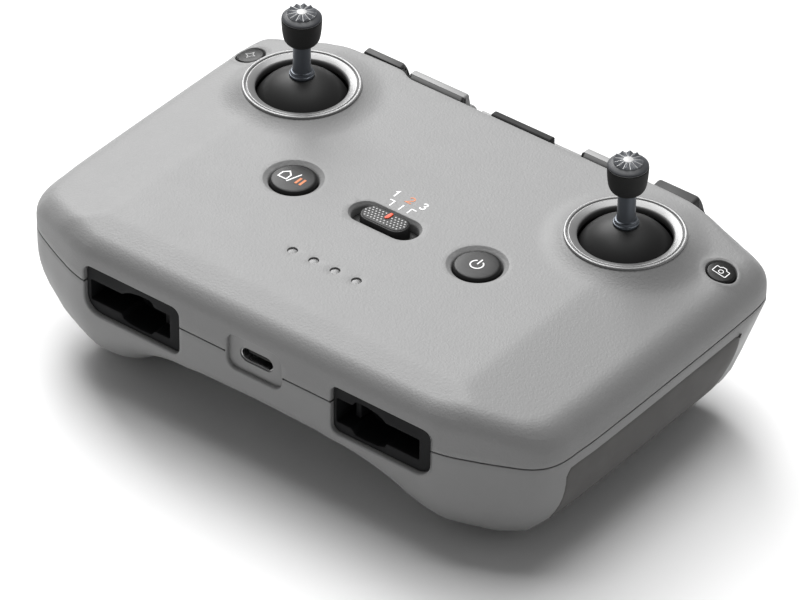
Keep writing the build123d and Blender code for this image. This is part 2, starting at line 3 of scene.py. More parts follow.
from math import acos, atan2, cos, degrees, pi, radians, sin, sqrt, tan

import bmesh
import bpy
import numpy as np
from mathutils import Matrix, Vector
from mathutils.geometry import delaunay_2d_cdt


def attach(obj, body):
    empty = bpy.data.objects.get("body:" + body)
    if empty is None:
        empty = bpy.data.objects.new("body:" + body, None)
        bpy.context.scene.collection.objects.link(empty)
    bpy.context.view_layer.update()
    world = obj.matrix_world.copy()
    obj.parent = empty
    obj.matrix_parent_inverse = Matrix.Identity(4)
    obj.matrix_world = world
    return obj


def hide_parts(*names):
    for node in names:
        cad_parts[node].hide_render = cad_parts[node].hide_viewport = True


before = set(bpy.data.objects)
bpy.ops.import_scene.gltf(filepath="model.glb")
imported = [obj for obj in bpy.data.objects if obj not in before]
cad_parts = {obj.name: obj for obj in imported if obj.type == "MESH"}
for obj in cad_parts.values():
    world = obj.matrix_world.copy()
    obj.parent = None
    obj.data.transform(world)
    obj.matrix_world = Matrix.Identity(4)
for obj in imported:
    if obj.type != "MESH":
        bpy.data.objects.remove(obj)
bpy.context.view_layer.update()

# ------------------------ dimensions
TOP = 43.0
SEAM = 30.15
SEAM_TOP = SEAM + 0.16      # lower edge of the upper shell
SEAM_LOW = SEAM - 0.15      # upper edge of the lower shell
FRONT = -52.1
BELLY = 17.8
PAD_PROUD = 0.14            # how far the grip pads stand out of the shell
CREASE_X, CREASE_Y = 50.0, -41.6
SIDE_SLOPE = radians(10.5)
SIDE_TAN, FRONT_TAN = tan(SIDE_SLOPE), tan(radians(12.0))
STICK = (46.2, 22.0)
PIVOT_Z = 35.6
BUTTON = (26.1, -5.8)
SIDE_BUTTON = (67.4, 29.2)
SWITCH_Y = -5.7
LED_Y = -27.3
LIGHTS_X = [(k - 1.5) * 6.02 for k in range(4)]
WINDOW_X, WINDOW_Z = (21.5, 49.1), (22.2, 34.9)
PORT_X, PORT_Z = (-7.7, 7.7), (26.3, 35.5)
SIDES = ((1, "right"), (-1, "left"))
SCREWS = [(-16.5, -43.0), (16.5, -43.0), (-24.0, 34.0), (24.0, 34.0)]
SCREW_R = 2.5               # mouth of a screw well
STICK_HOLE_R, STICK_HOLE_N = 13.55, 80
BUTTON_HOLE_R, BUTTON_HOLE_N = 7.15, 56
SIDE_HOLE_R, SIDE_HOLE_N = 3.75, 44
LIGHT_HOLE_R, LIGHT_HOLE_N = 1.3, 24
SWITCH_SLOT = (19.1, 8.4)   # length and width of the mode switch's slot
PORT_Z_MID = 30.9
WINDOW_RADII = (2.0, 4.2, 2.0, 2.0)
WALL_CREST = 29.2           # where the rear wall's slant starts

# right half of the outline at the seam, from the middle of the front round to the middle of the rear
HALF_OUTLINE = [
    (0, -52.1), (30, -52.1), (46, -52.1), (49.6, -52.0), (53.6, -51.1), (57.9, -49.5),
    (61.8, -47.9), (65.6, -46.15), (68.3, -44.85), (70.8, -43.2), (72.7, -41.0), (73.8, -38.4),
    (74.35, -35.3), (74.5, -31.9), (74.8, -26.8), (74.95, -15), (75, -5), (75, 5),
    (75, 14), (74.95, 22), (74.85, 28), (74.7, 32.5), (74.35, 36.0), (73.5, 38.9),
    (71.8, 40.9), (69.2, 41.8), (65, 42.2), (60, 42.4), (55, 42.65), (50, 43.1), (47, 43.35), (40, 43.6),
    (34.2, 43.6), (33, 43.35), (31.7, 42.6), (30.4, 42.1), (29.2, 41.95), (20, 41.95), (0, 41.95),
]


# ------------------------ plane geometry
def curve(anchors, step):
    """Smooth line through the anchors, as points a step apart."""
    p = np.array(anchors, float)
    t = np.concatenate([[0], np.cumsum(np.linalg.norm(np.diff(p, axis=0), axis=1))])
    m = np.zeros_like(p)
    m[1:-1] = (p[2:] - p[:-2]) / (t[2:] - t[:-2])[:, None]
    m[0] = (p[1] - p[0]) / (t[1] - t[0])
    m[-1] = (p[-1] - p[-2]) / (t[-1] - t[-2])
    u = np.linspace(0, t[-1], int(t[-1] / step) + 1)
    i = np.clip(np.searchsorted(t, u, side="right") - 1, 0, len(t) - 2)
    h = (t[i + 1] - t[i])[:, None]
    w = (u - t[i])[:, None] / h
    a, b = 2 * w**3 - 3 * w**2 + 1, w**3 - 2 * w**2 + w
    c, d = -2 * w**3 + 3 * w**2, w**3 - w**2
    return a * p[i] + b * h * m[i] + c * p[i + 1] + d * h * m[i + 1]


def inside(points, loop):
    """True for the points inside a closed loop."""
    x, y = points[:, 0][:, None], points[:, 1][:, None]
    a, b = np.array(loop), np.roll(loop, -1, axis=0)
    crosses = (a[:, 1] > y) != (b[:, 1] > y)
    rise = np.where(b[:, 1] == a[:, 1], 1e-12, b[:, 1] - a[:, 1])
    at = a[:, 0] + (y - a[:, 1]) * (b[:, 0] - a[:, 0]) / rise
    return (crosses & (x < at)).sum(axis=1) % 2 == 1


def nearest(points, loop):
    """Distance from each point to a closed loop, the side it meets and the share along it."""
    best = np.full(len(points), 1e9)
    side = np.zeros(len(points), int)
    share = np.zeros(len(points))
    a, b = np.array(loop), np.roll(loop, -1, axis=0)
    for k in range(0, len(a), 64):
        s, e = a[k : k + 64], b[k : k + 64]
        d = e - s
        t = ((points[:, None] - s) * d).sum(2) / np.maximum((d * d).sum(1), 1e-12)
        t = np.clip(t, 0, 1)
        gap = np.linalg.norm(points[:, None] - s - t[..., None] * d, axis=2)
        j = gap.argmin(1)
        rows = np.arange(len(points))
        better = gap[rows, j] < best
        best = np.where(better, gap[rows, j], best)
        share = np.where(better, t[rows, j], share)
        side = np.where(better, j + k, side)
    return best, side, share


def between(points, loops):
    """True for the points inside the first loop and outside the others."""
    keep = inside(points, loops[0])
    for loop in loops[1:]:
        keep &= ~inside(points, loop)
    return keep


def fill(loops, free, gap):
    """Triangles that fill the first loop, less the others, through the free points that fit."""
    free = np.array(free, float)
    free = free[between(free, loops)]
    for loop in loops:
        free = free[nearest(free, loop)[0] > gap]
    taken, chosen = set(), []
    for x, y in free:
        cell = (round(x / gap), round(y / gap))
        if cell not in taken:
            taken.add(cell)
            chosen.append((x, y))
    points, edges = [], []
    for loop in loops:
        n, base = len(loop), len(points)
        points += [tuple(p) for p in loop]
        edges += [(base + i, base + (i + 1) % n) for i in range(n)]
    points += chosen
    made = delaunay_2d_cdt([Vector(p) for p in points], edges, [], 0, 1e-6)
    flat = np.array([tuple(v) for v in made[0]])
    tris = np.array([tuple(f) for f in made[2]])
    tris = tris[between(flat[tris].mean(axis=1), loops)]
    return flat, [tuple(int(i) for i in t) for t in tris]


def circle(x, y, r, n=48):
    a = np.arange(n) * 2 * pi / n
    return np.stack([x + r * np.cos(a), y + r * np.sin(a)], axis=1)


def stadium(x, y, length, width, n=14):
    """Loop of a slot that runs along the first axis."""
    r, half = width / 2, (length - width) / 2
    turns = np.linspace(-pi / 2, pi / 2, n)
    right = [(x + half + r * cos(a), y + r * sin(a)) for a in turns]
    left = [(x - half - r * cos(a), y - r * sin(a)) for a in turns]
    across = [(x + half * k, y + r) for k in (0.6, 0.2, -0.2, -0.6)]
    back = [(x - half * k, y - r) for k in (0.6, 0.2, -0.2, -0.6)]
    return np.array(right + across + left + back)


def rounded(corners, radii, n=7):
    """Loop round the corners of a convex or concave polygon, each rounded by its radius."""
    out = []
    count = len(corners)
    for i in range(count):
        p, a, b = (np.array(corners[(i + k) % count], float) for k in (0, -1, 1))
        u, v = (a - p) / np.linalg.norm(a - p), (b - p) / np.linalg.norm(b - p)
        half = acos(np.clip(u @ v, -1, 1)) / 2
        r = radii[i] if hasattr(radii, "__len__") else radii
        if r <= 0 or half > 1.55:
            out.append(p)
            continue
        reach = r / tan(half)
        centre = p + (u + v) / np.linalg.norm(u + v) * r / sin(half)
        start, end = p + u * reach - centre, p + v * reach - centre
        turn = atan2(start[0] * end[1] - start[1] * end[0], start @ end)
        for k in range(n):
            c, s = cos(turn * k / (n - 1)), sin(turn * k / (n - 1))
            out.append(centre + (start[0] * c - start[1] * s, start[0] * s + start[1] * c))
    return np.array(out)


def inset(loop, d):
    """A counterclockwise loop moved in by d, or by one d for each point."""
    p = np.array(loop, float)
    back, on = p - np.roll(p, 1, axis=0), np.roll(p, -1, axis=0) - p
    back /= np.maximum(np.linalg.norm(back, axis=1), 1e-9)[:, None]
    on /= np.maximum(np.linalg.norm(on, axis=1), 1e-9)[:, None]
    n = np.stack([-(back + on)[:, 1], (back + on)[:, 0]], axis=1)
    length = np.maximum(np.linalg.norm(n, axis=1), 0.7)
    n = n / length[:, None] * (2 / length)[:, None]
    return p + n * (d[:, None] if hasattr(d, "__len__") else d)


def box(x, y):
    """Corners of a rectangle over two spans."""
    return [(x[0], y[0]), (x[1], y[0]), (x[1], y[1]), (x[0], y[1])]


def staggered():
    """Grid of points over the whole body, every other row moved by half a step."""
    grid = np.stack(np.meshgrid(np.arange(-74, 75, 2.1), np.arange(-51, 44, 2.1)), -1)
    grid[::2, :, 0] += 1.05
    return grid.reshape(-1, 2)


def eased(value, low, high):
    t = np.clip((value - low) / (high - low), 0, 1)
    return t * t * (3 - 2 * t)


# ------------------------ form of the shells
right_half = curve(HALF_OUTLINE, 0.85) * (74.76 / 75, 1)       # the seam lies a little inside the widest line
left_half = (right_half * (-1, 1))[::-1]
OUTLINE = np.concatenate([left_half[:-1], right_half[:-1]])     # from the rear middle round the left side
OUT_IN = inset(OUTLINE, 1.0) - OUTLINE
OUT_IN /= np.linalg.norm(OUT_IN, axis=1)[:, None]
step_lengths = np.linalg.norm(np.roll(OUTLINE, -1, axis=0) - OUTLINE, axis=1)
OUT_S = np.concatenate([[0], np.cumsum(step_lengths)])     # one longer than the outline
facing = np.degrees(np.arctan2(-OUT_IN[:, 1], np.abs(OUT_IN[:, 0])))
from_middle = np.abs(OUTLINE[:, 0])
# radius of the rounding between the top and the wall
EDGE_R = np.where(
    OUTLINE[:, 1] > 30,
    np.interp(from_middle, [49, 55, 60, 65, 71], [0.9, 1.5, 3.2, 4.8, 6]),
    np.interp(facing, [-90, -45, 10], [4, 6, 6]),
)
REARNESS = eased(OUTLINE[:, 1] + 0.25 * from_middle, 40, 57)
WALL_FOOT = np.interp(from_middle, [0, 17, 20.5, 50, 60, 73], [23.0, 22.3, 21.6, 21.6, 23.5, 25.8])
WALL_FOOT = WALL_FOOT * (1 - REARNESS) + WALL_CREST * REARNESS
# how far the rounding under the wall reaches in, over its height
REACH = np.interp(from_middle, [24, 36, 44, 52, 62, 73], [1.0, 1.4, 1.15, 1.15, 0.93, 1.1])
REACH = np.where(OUTLINE[:, 1] > -30, 1.1, REACH)


def along(values, side, share):
    """Values held at the outline's points, read between them."""
    return values[side] * (1 - share) + values[(side + 1) % len(values)] * share


def softly(t, k):
    return (t + np.sqrt(t * t + k * k)) / 2


def roof(x, y):
    """Height of the top's plateau and facets, with the swellings round the sticks."""
    side = softly(np.abs(x) - CREASE_X, 1.2) * SIDE_TAN
    front = softly(CREASE_Y - y, 1.2) * FRONT_TAN
    z = TOP - (side + front + np.sqrt((side - front) ** 2 + 0.06) - 0.245) / 2      # the lower facet, softly
    r = np.hypot(np.abs(x) - STICK[0], y - STICK[1])
    swell = np.clip((20.0 - r) / 6.2, 0, 1)
    z = z + (44.75 - z) * swell**2.1
    lip = np.hypot(np.abs(x) - SIDE_BUTTON[0], y - SIDE_BUTTON[1])
    return z + 0.3 * np.exp(-(((lip - 4.2) / 0.5) ** 2))


def top_height(points):
    d, side, share = nearest(points, OUTLINE)
    r = along(EDGE_R, side, share)
    t = np.clip(r - d, 0, None)
    return roof(points[:, 0], points[:, 1]) - (r - np.sqrt(np.maximum(r * r - t * t, 0)))


# height of the underside from the middle out to the bottom of a grip
BELLY_ANCHORS = [
    (20, 17.8), (23, 17.75), (25.5, 17.1), (28, 15.9), (32, 12.9),
    (36, 8.6), (40, 3.9), (44, 1.45), (48, 0.3), (52, 0),
]
BELLY_LINE = curve(BELLY_ANCHORS, 0.3)


def belly(x):
    return np.interp(np.abs(x), BELLY_LINE[:, 0], np.clip(BELLY_LINE[:, 1], 0, BELLY))


def low_height(points):
    """Height of the lower shell's underside."""
    d, side, share = nearest(points, OUTLINE)
    base = belly(points[:, 0])
    rise = np.maximum(along(WALL_FOOT, side, share) - base, 1)
    t = np.clip(1 - d / (rise * along(REACH, side, share)), 0, 1)
    arc = base + rise * (1 - np.sqrt(1 - t * t))
    # the rear wall falls steeply over its upper 64 %, then curves in to the underside
    tall, fall = WALL_CREST - base, 3.03
    bend = 0.64 * tall / fall
    rest = np.clip((bend + 1.07 * tall * 0.36 - d) / (1.07 * tall * 0.36), 0, 1)
    slant = np.where(d < bend, WALL_CREST - fall * d, base + 0.36 * tall * rest**3)
    w = along(REARNESS, side, share)
    z = arc * (1 - w) + slant * w
    return z + PAD_PROUD * np.clip(1 - z / 20, 0, 1)


# ------------------------ meshes
MERGE = 0.0008              # points closer than this become one


def put(name, data):
    """New object of that data, in the scene."""
    made = bpy.data.objects.new(name, data)
    bpy.context.scene.collection.objects.link(made)
    return made


class Shape:
    """Vertices in millimetres and faces, gathered from several patches."""

    def __init__(self):
        self.points = []
        self.faces = []

    def add(self, points, faces):
        base = len(self.points)
        self.points += [tuple(float(c) for c in p) for p in points]
        self.faces += [tuple(base + i for i in f) for f in faces]
        return self

    def strip(self, rows, closed=True, gap=None):
        """Quads between loops of equal length, left out where both ends of a side are in a gap."""
        n, faces = len(rows[0]), []
        for r in range(len(rows) - 1):
            for i in range(n if closed else n - 1):
                j = (i + 1) % n
                if gap is None or not (gap[i] and gap[j]):
                    faces.append((r * n + i, r * n + j, (r + 1) * n + j, (r + 1) * n + i))
        return self.add([p for row in rows for p in row], faces)

    def cap(self, loop):
        return self.add(loop, [range(len(loop))])

    def object(self, name, body, slot, material, nodes=(), angle=32, place=None):
        """Make the piece, ride it on its body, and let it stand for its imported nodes."""
        mesh = bpy.data.meshes.new(name)
        co = np.array(self.points, float)
        if place is not None:
            m = np.array(place)
            co = co @ m[:3, :3].T + m[:3, 3]
        mesh.from_pydata([tuple(p) for p in co * 0.001], [], self.faces)
        work = bmesh.new()
        work.from_mesh(mesh)
        bmesh.ops.remove_doubles(work, verts=work.verts, dist=MERGE * 0.001)
        bmesh.ops.dissolve_degenerate(work, edges=work.edges, dist=MERGE * 0.0002)
        bmesh.ops.recalc_face_normals(work, faces=work.faces)
        work.to_mesh(mesh)
        work.free()
        mesh.shade_smooth()
        mesh.set_sharp_from_angle(angle=radians(angle))
        mesh.materials.append(material)
        piece = put(name, mesh)
        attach(piece, body)
        for node in nodes:
            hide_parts(node)


def at_height(loop, z):
    """A flat loop as points at one height, or at a height each."""
    heights = z if hasattr(z, "__len__") else [z] * len(loop)
    return [(x, y, h) for (x, y), h in zip(loop, heights)]


def in_front(flat, depth):
    """(x, z) points at a depth behind the front wall."""
    return [(x, FRONT + depth, z) for x, z in flat]


def lathe(profile, n=64, x=0.0, y=0.0):
    """Solid of revolution about an upright axis, from (radius, height) points."""
    turns = np.arange(n) * 2 * pi / n
    return Shape().strip([[(x + r * cos(a), y + r * sin(a), z) for a in turns] for r, z in profile])


def bar(profile, x, edge):
    """A (y, z) loop drawn out along X, with its two ends rounded."""
    y, z = profile[:, 0], profile[:, 1]
    area = np.sum(y * np.roll(z, -1) - np.roll(y, -1) * z)
    loop = profile if area > 0 else profile[::-1]
    near, far = [], []
    for a in np.linspace(0, pi / 2, 4):
        ring = inset(loop, edge * (1 - sin(a)))
        on = edge * (1 - cos(a))
        near.append([(x[0] + on, y, z) for y, z in ring])
        far.insert(0, [(x[1] - on, y, z) for y, z in ring])
    return Shape().strip(near + far).cap(near[0]).cap(far[-1])


def plate(loop, low, high, edge):
    """A flat loop drawn upwards, with its top edge rounded."""
    rows = [at_height(loop, low), at_height(loop, high - edge)]
    for a in (30, 60, 90):
        t = radians(a)
        rows.append(at_height(inset(loop, edge * (1 - cos(t))), high - edge * (1 - sin(t))))
    return Shape().strip(rows).cap(rows[-1]).cap(rows[0])


def stroke(points, width, low, high, closed=False):
    """Ribbon of a given width along a flat line, as a thin solid."""
    p = np.array(points, float)
    if closed:
        back, on = np.roll(p, 1, axis=0), np.roll(p, -1, axis=0)
    else:
        back, on = np.vstack([2 * p[0] - p[1], p[:-1]]), np.vstack([p[1:], 2 * p[-1] - p[-2]])
    u = (p - back) / np.linalg.norm(p - back, axis=1)[:, None]
    v = (on - p) / np.linalg.norm(on - p, axis=1)[:, None]
    n = np.stack([-(u + v)[:, 1], (u + v)[:, 0]], axis=1)
    n = n / np.maximum((n**2).sum(1), 0.6)[:, None] * width
    left, right = p + n, p - n
    rows = [at_height(left, low), at_height(left, high), at_height(right, high), at_height(right, low)]
    shape = Shape().strip(rows + [rows[0]], closed=closed)
    if not closed:
        for i in (0, -1):
            shape.cap([row[i] for row in rows])
    return shape


def arc(x, y, r, a, b, n):
    """Points on a circle from one angle to another, in degrees."""
    return [(x + r * cos(t), y + r * sin(t)) for t in np.radians(np.linspace(a, b, n))]


# ------------------------ shells
FRONT_S = OUT_S[len(left_half) - 1]
LENGTH = OUT_S[-1]
ROOF_EDGE = roof(OUTLINE[:, 0], OUTLINE[:, 1]) - EDGE_R
WALL_TOP = SEAM_TOP + 0.12
WALL_LOW = SEAM_LOW - 0.12


def on_wall(flat):
    """Unrolled (distance along the outline, height) points, put back on the outline."""
    i = np.clip(np.searchsorted(OUT_S, flat[:, 0], side="right") - 1, 0, len(OUTLINE) - 1)
    t = ((flat[:, 0] - OUT_S[i]) / (OUT_S[i + 1] - OUT_S[i]))[:, None]
    xy = OUTLINE[i] * (1 - t) + OUTLINE[(i + 1) % len(OUTLINE)] * t
    return np.column_stack([xy, flat[:, 1]])


def window_loop(x, z, radii, grow):
    """Loop of a front opening as (x, z), with points where it meets the two shells."""
    corners = box((x[0] - grow, x[1] + grow), (z[0] - grow, z[1] + grow))
    p = rounded(corners, [r + grow for r in radii])
    right = [(x[1] + grow, WALL_LOW), (x[1] + grow, WALL_TOP)]
    left = [(x[0] - grow, WALL_TOP), (x[0] - grow, WALL_LOW)]
    return np.concatenate([p[:14], right, p[14:], left])


WINDOWS = [
    (WINDOW_X, WINDOW_Z, WINDOW_RADII),
    ((-WINDOW_X[1], -WINDOW_X[0]), WINDOW_Z, (4.2, 2.0, 2.0, 2.0)),
]
PORT_RADIUS = 2.4
PORT = (PORT_X, PORT_Z, (PORT_RADIUS,) * 4)
RIM = 0.42                  # rounding of a front opening's edge
TRAY_REVEAL = 2.2           # depth of a front opening's side wall
TRAY_DEPTH = 9.0            # bottom of the hollow for a stick, behind the front wall
HOLDER_GAP = (17.2, (28, 34.7))     # half width and heights of the opening for the holder's arm


def wall_patch(shape, low, high):
    """One shell's outer wall between two lines of heights, with the front openings cut out."""
    s = OUT_S
    low, high = np.append(low, low[0]), np.append(high, high[0])
    outer = np.concatenate([np.column_stack([s, low]), np.column_stack([s, high])[::-1]])
    holes = [window_loop(*w, RIM) + (FRONT_S, 0) for w in WINDOWS + [PORT]]
    if high[0] > SEAM:
        half, heights = HOLDER_GAP
        for span in ((-1, half), (LENGTH - half, LENGTH + 1)):
            holes.append(np.array(box(span, heights)))
    free = []
    for i in range(len(OUTLINE)):
        count = int((high[i] - low[i]) / 1.8)
        free += [(s[i], low[i] + (high[i] - low[i]) * (k + 1) / (count + 1)) for k in range(count)]
    flat, tris = fill([outer] + holes, free, 0.4)
    shape.add(on_wall(flat), tris)


def seam_lip(shape, rows):
    """Strip that turns a shell's edge in at the seam, except across the front openings."""
    x, y = OUTLINE[:, 0], OUTLINE[:, 1]
    gone = np.zeros(len(OUTLINE), bool)
    for (a, b), _, _ in WINDOWS + [PORT]:
        gone |= (x > a - 0.9) & (x < b + 0.9) & (y < -50)
    shape.strip([at_height(OUTLINE + OUT_IN * d, z) for d, z in rows], gap=gone)


def reveal(shape, window, part, depth):
    """Rounded rim and side wall of a front opening, for one shell's share of its loop."""
    rows = []
    for a in (0, 30, 60, 90):
        t = radians(a)
        rows.append(in_front(window_loop(*window, RIM * (1 - sin(t)))[part], RIM * (1 - cos(t))))
    rows.append(in_front(window_loop(*window, 0)[part], depth))
    shape.strip(rows, closed=False)


# shares of a window's loop: the upper shell's, the lower shell's and all of it
UPPER_PART = list(range(15, 31))
LOWER_PART = [31] + list(range(0, 15))
WHOLE = list(range(32)) + [0]


def edge_rows(angles, height):
    """Rows of the rounding between the wall and a shell's face."""
    return [at_height(*height(radians(a))) for a in angles]


def make_upper_shell():
    """Upper shell: the top with its holes and their wells, the wall and the upper edges of the openings."""
    shape = Shape()

    def height(t):
        loop = OUTLINE + OUT_IN * (EDGE_R * (1 - cos(t)))[:, None]
        return loop, roof(loop[:, 0], loop[:, 1]) - EDGE_R * (1 - sin(t))

    rows = edge_rows((0, 10, 20, 30, 40), height)
    shape.strip(rows)
    outer = np.array(rows[-1])[:, :2]
    holes, free = [], []
    beside = (-2.4, -1.2, -0.4, 0.4, 1.2, 2.4)      # lines of points on both sides of a crease
    for side in (-1, 1):
        stick, button, corner = ((side * x, y) for x, y in (STICK, BUTTON, SIDE_BUTTON))
        holes.append(circle(*stick, STICK_HOLE_R, STICK_HOLE_N))
        for r in (14.0, 14.5, 15.1, 15.8, 16.6, 17.5, 18.5, 19.6, 20.8):
            free.append(circle(*stick, r, int(r * 5.5)))
        holes.append(circle(*button, BUTTON_HOLE_R, BUTTON_HOLE_N))
        free.append(circle(*button, 8.2, 40))
        holes.append(circle(*corner, SIDE_HOLE_R, SIDE_HOLE_N))
        for r in (4.15, 4.6, 5.2, 6.2):
            free.append(circle(*corner, r, int(r * 9)))
        for k in beside:
            ys = np.arange(-50, 44, 1.6)
            free.append(np.column_stack([np.full(len(ys), side * (CREASE_X + k)), ys]))
    for k in beside:
        xs = np.arange(-52, 52.1, 1.6)
        free.append(np.column_stack([xs, np.full(len(xs), CREASE_Y + k)]))
    holes.append(stadium(0, SWITCH_Y, *SWITCH_SLOT))
    for x in LIGHTS_X:
        holes.append(circle(x, LED_Y, LIGHT_HOLE_R, LIGHT_HOLE_N))
    for a in (50, 60, 70, 80, 90, 102):
        free.append(OUTLINE + OUT_IN * (EDGE_R * (1 - cos(radians(a))))[:, None])
    free.append(staggered())
    flat, tris = fill([outer] + holes, np.concatenate(free), 0.36)
    shape.add(at_height(flat, top_height(flat)), tris)

    def well(loops):
        """Side of a hole from (loop, drop) rows, hung from the roof."""
        top = top_height(np.array(loops[0][0]))
        shape.strip([at_height(loop, top - drop) for loop, drop in loops])

    def round_well(x, y, n, sizes):
        well([(circle(x, y, r, n), drop) for r, drop in sizes])

    for side in (-1, 1):
        stick, button, corner = ((side * x, y) for x, y in (STICK, BUTTON, SIDE_BUTTON))
        round_well(*stick, STICK_HOLE_N, [(STICK_HOLE_R, 0), (13.4, 0.2), (13.4, 4)])
        sizes = [(BUTTON_HOLE_R, 0), (7.02, 0.04), (6.92, 0.14), (6.2, 0.62), (5.95, 0.85), (5.8, 1.2)]
        round_well(*button, BUTTON_HOLE_N, sizes + [(5.8, 4)])
        round_well(*corner, SIDE_HOLE_N, [(SIDE_HOLE_R, 0), (3.66, 0.05), (3.6, 0.18), (3.6, 4)])
    sizes = [(0, 0), (0.13, 0.04), (0.24, 0.14), (0.95, 0.62), (1.25, 0.85), (1.45, 1.2), (1.45, 5)]
    length, width = SWITCH_SLOT
    well([(stadium(0, SWITCH_Y, length - k, width - k), drop) for k, drop in sizes])
    for x in LIGHTS_X:
        round_well(x, LED_Y, LIGHT_HOLE_N, [(LIGHT_HOLE_R, 0), (1.22, 0.03), (1.18, 0.12), (1.18, 2)])

    wall_patch(shape, np.full(len(OUTLINE), WALL_TOP), ROOF_EDGE)
    seam_lip(shape, [(0, WALL_TOP), (0.04, SEAM_TOP + 0.04), (0.12, SEAM_TOP), (1.4, SEAM_TOP)])
    for window in WINDOWS:
        reveal(shape, window, UPPER_PART, TRAY_REVEAL)
    reveal(shape, PORT, WHOLE, 1.0)
    return shape


def make_lower_shell():
    """Lower shell: the underside with its screw wells, the wall and the lower edges of the openings."""
    shape = Shape()

    def height(t):
        reach = np.maximum(WALL_FOOT - belly(OUTLINE[:, 0]), 1) * REACH
        loop = OUTLINE + OUT_IN * (reach * (1 - cos(t)))[:, None]
        return loop, low_height(loop)

    rows = edge_rows((0, 5, 10, 15, 20), height)
    shape.strip(rows)
    outer = np.array(rows[-1])[:, :2]
    free = [np.array(height(radians(a))[0]) for a in range(26, 90, 6)] + [staggered()]
    holes = [circle(*at, SCREW_R, 32) for at in SCREWS]
    flat, tris = fill([outer] + holes, np.concatenate(free), 0.5)
    shape.add(at_height(flat, low_height(flat)), [t[::-1] for t in tris])
    for at, hole in zip(SCREWS, holes):
        foot_of_well = low_height(hole)
        sizes = ((SCREW_R, 0), (2.38, 0.12), (2.38, 5.2))
        shape.strip([at_height(circle(*at, r, 32), foot_of_well + k) for r, k in sizes])
    wall_patch(shape, low_height(OUTLINE), np.full(len(OUTLINE), WALL_LOW))
    lip = [(0, WALL_LOW), (0.04, SEAM_LOW - 0.04), (0.12, SEAM_LOW), (1.0, SEAM_LOW), (1.0, SEAM_TOP + 1.5)]
    seam_lip(shape, lip)
    for window in WINDOWS:
        reveal(shape, window, LOWER_PART, TRAY_REVEAL)
    return shape


def make_pad(side):
    """Soft pad on the outer side of one grip, standing slightly out of the shell."""
    y_low, y_high, top, inner, r, outer = -36.3, 27.4, 28.0, 52.0, 3.4, 74.84
    ordered = right_half[np.abs(right_half[:, 1]) < 41]
    ordered = ordered[ordered[:, 0] > 60]
    # (distance in from the side, height), where None leaves the height to the shell's underside
    profile = [(0.0, z) for z in np.linspace(top, 25.8, 4)[:-1]]
    profile += [(28.5 * (1 - cos(a)), None) for a in np.radians(np.linspace(0.5, 37, 26))]
    middle = []
    for d, z in profile:
        x = outer - d
        middle.append((x, z if z is not None else low_height(np.array([[x, 0.0]]))[0]))
    middle = [p for p in middle if p[0] > inner]
    down = np.concatenate([[0], np.cumsum(np.linalg.norm(np.diff(np.array(middle), axis=0), axis=1))])
    ends = np.array([0, 0.004, 0.012, 0.025, 0.045])
    w = np.concatenate([ends, np.linspace(0.07, 0.93, 40), [0.955, 0.975, 0.988, 0.996, 1]])
    grid = []
    for k, v in enumerate(down):
        near = min(v, down[-1] - v)
        cut = r - sqrt(max(r * r - max(r - near, 0) ** 2, 0))
        ys = (y_low + cut) * (1 - w) + (y_high - cut) * w
        xs = np.interp(ys, ordered[:, 1], ordered[:, 0]) - (outer - middle[k][0])
        z = profile[k][1]
        zs = np.full(len(ys), z) if z is not None else low_height(np.column_stack([xs, ys]))
        grid.append(np.column_stack([xs, ys, zs]))
    g = np.array(grid)
    du, dv = np.gradient(g, axis=1), np.gradient(g, axis=0)
    n = np.cross(dv, du)
    n /= np.maximum(np.linalg.norm(n, axis=2), 1e-9)[..., None]
    if n[len(n) // 2, 25, 0] < 0:
        n = -n
    rows, columns = g.shape[:2]
    # the rim sinks into the shell, and the row next to it stands a little lower than the rest
    proud = np.full((rows, columns), -0.4)
    proud[1:-1, 1:-1] = PAD_PROUD * 0.55
    proud[2:-2, 2:-2] = PAD_PROUD
    g = g + n * proud[..., None]
    return Shape().strip(g * (side, 1, 1), closed=False)


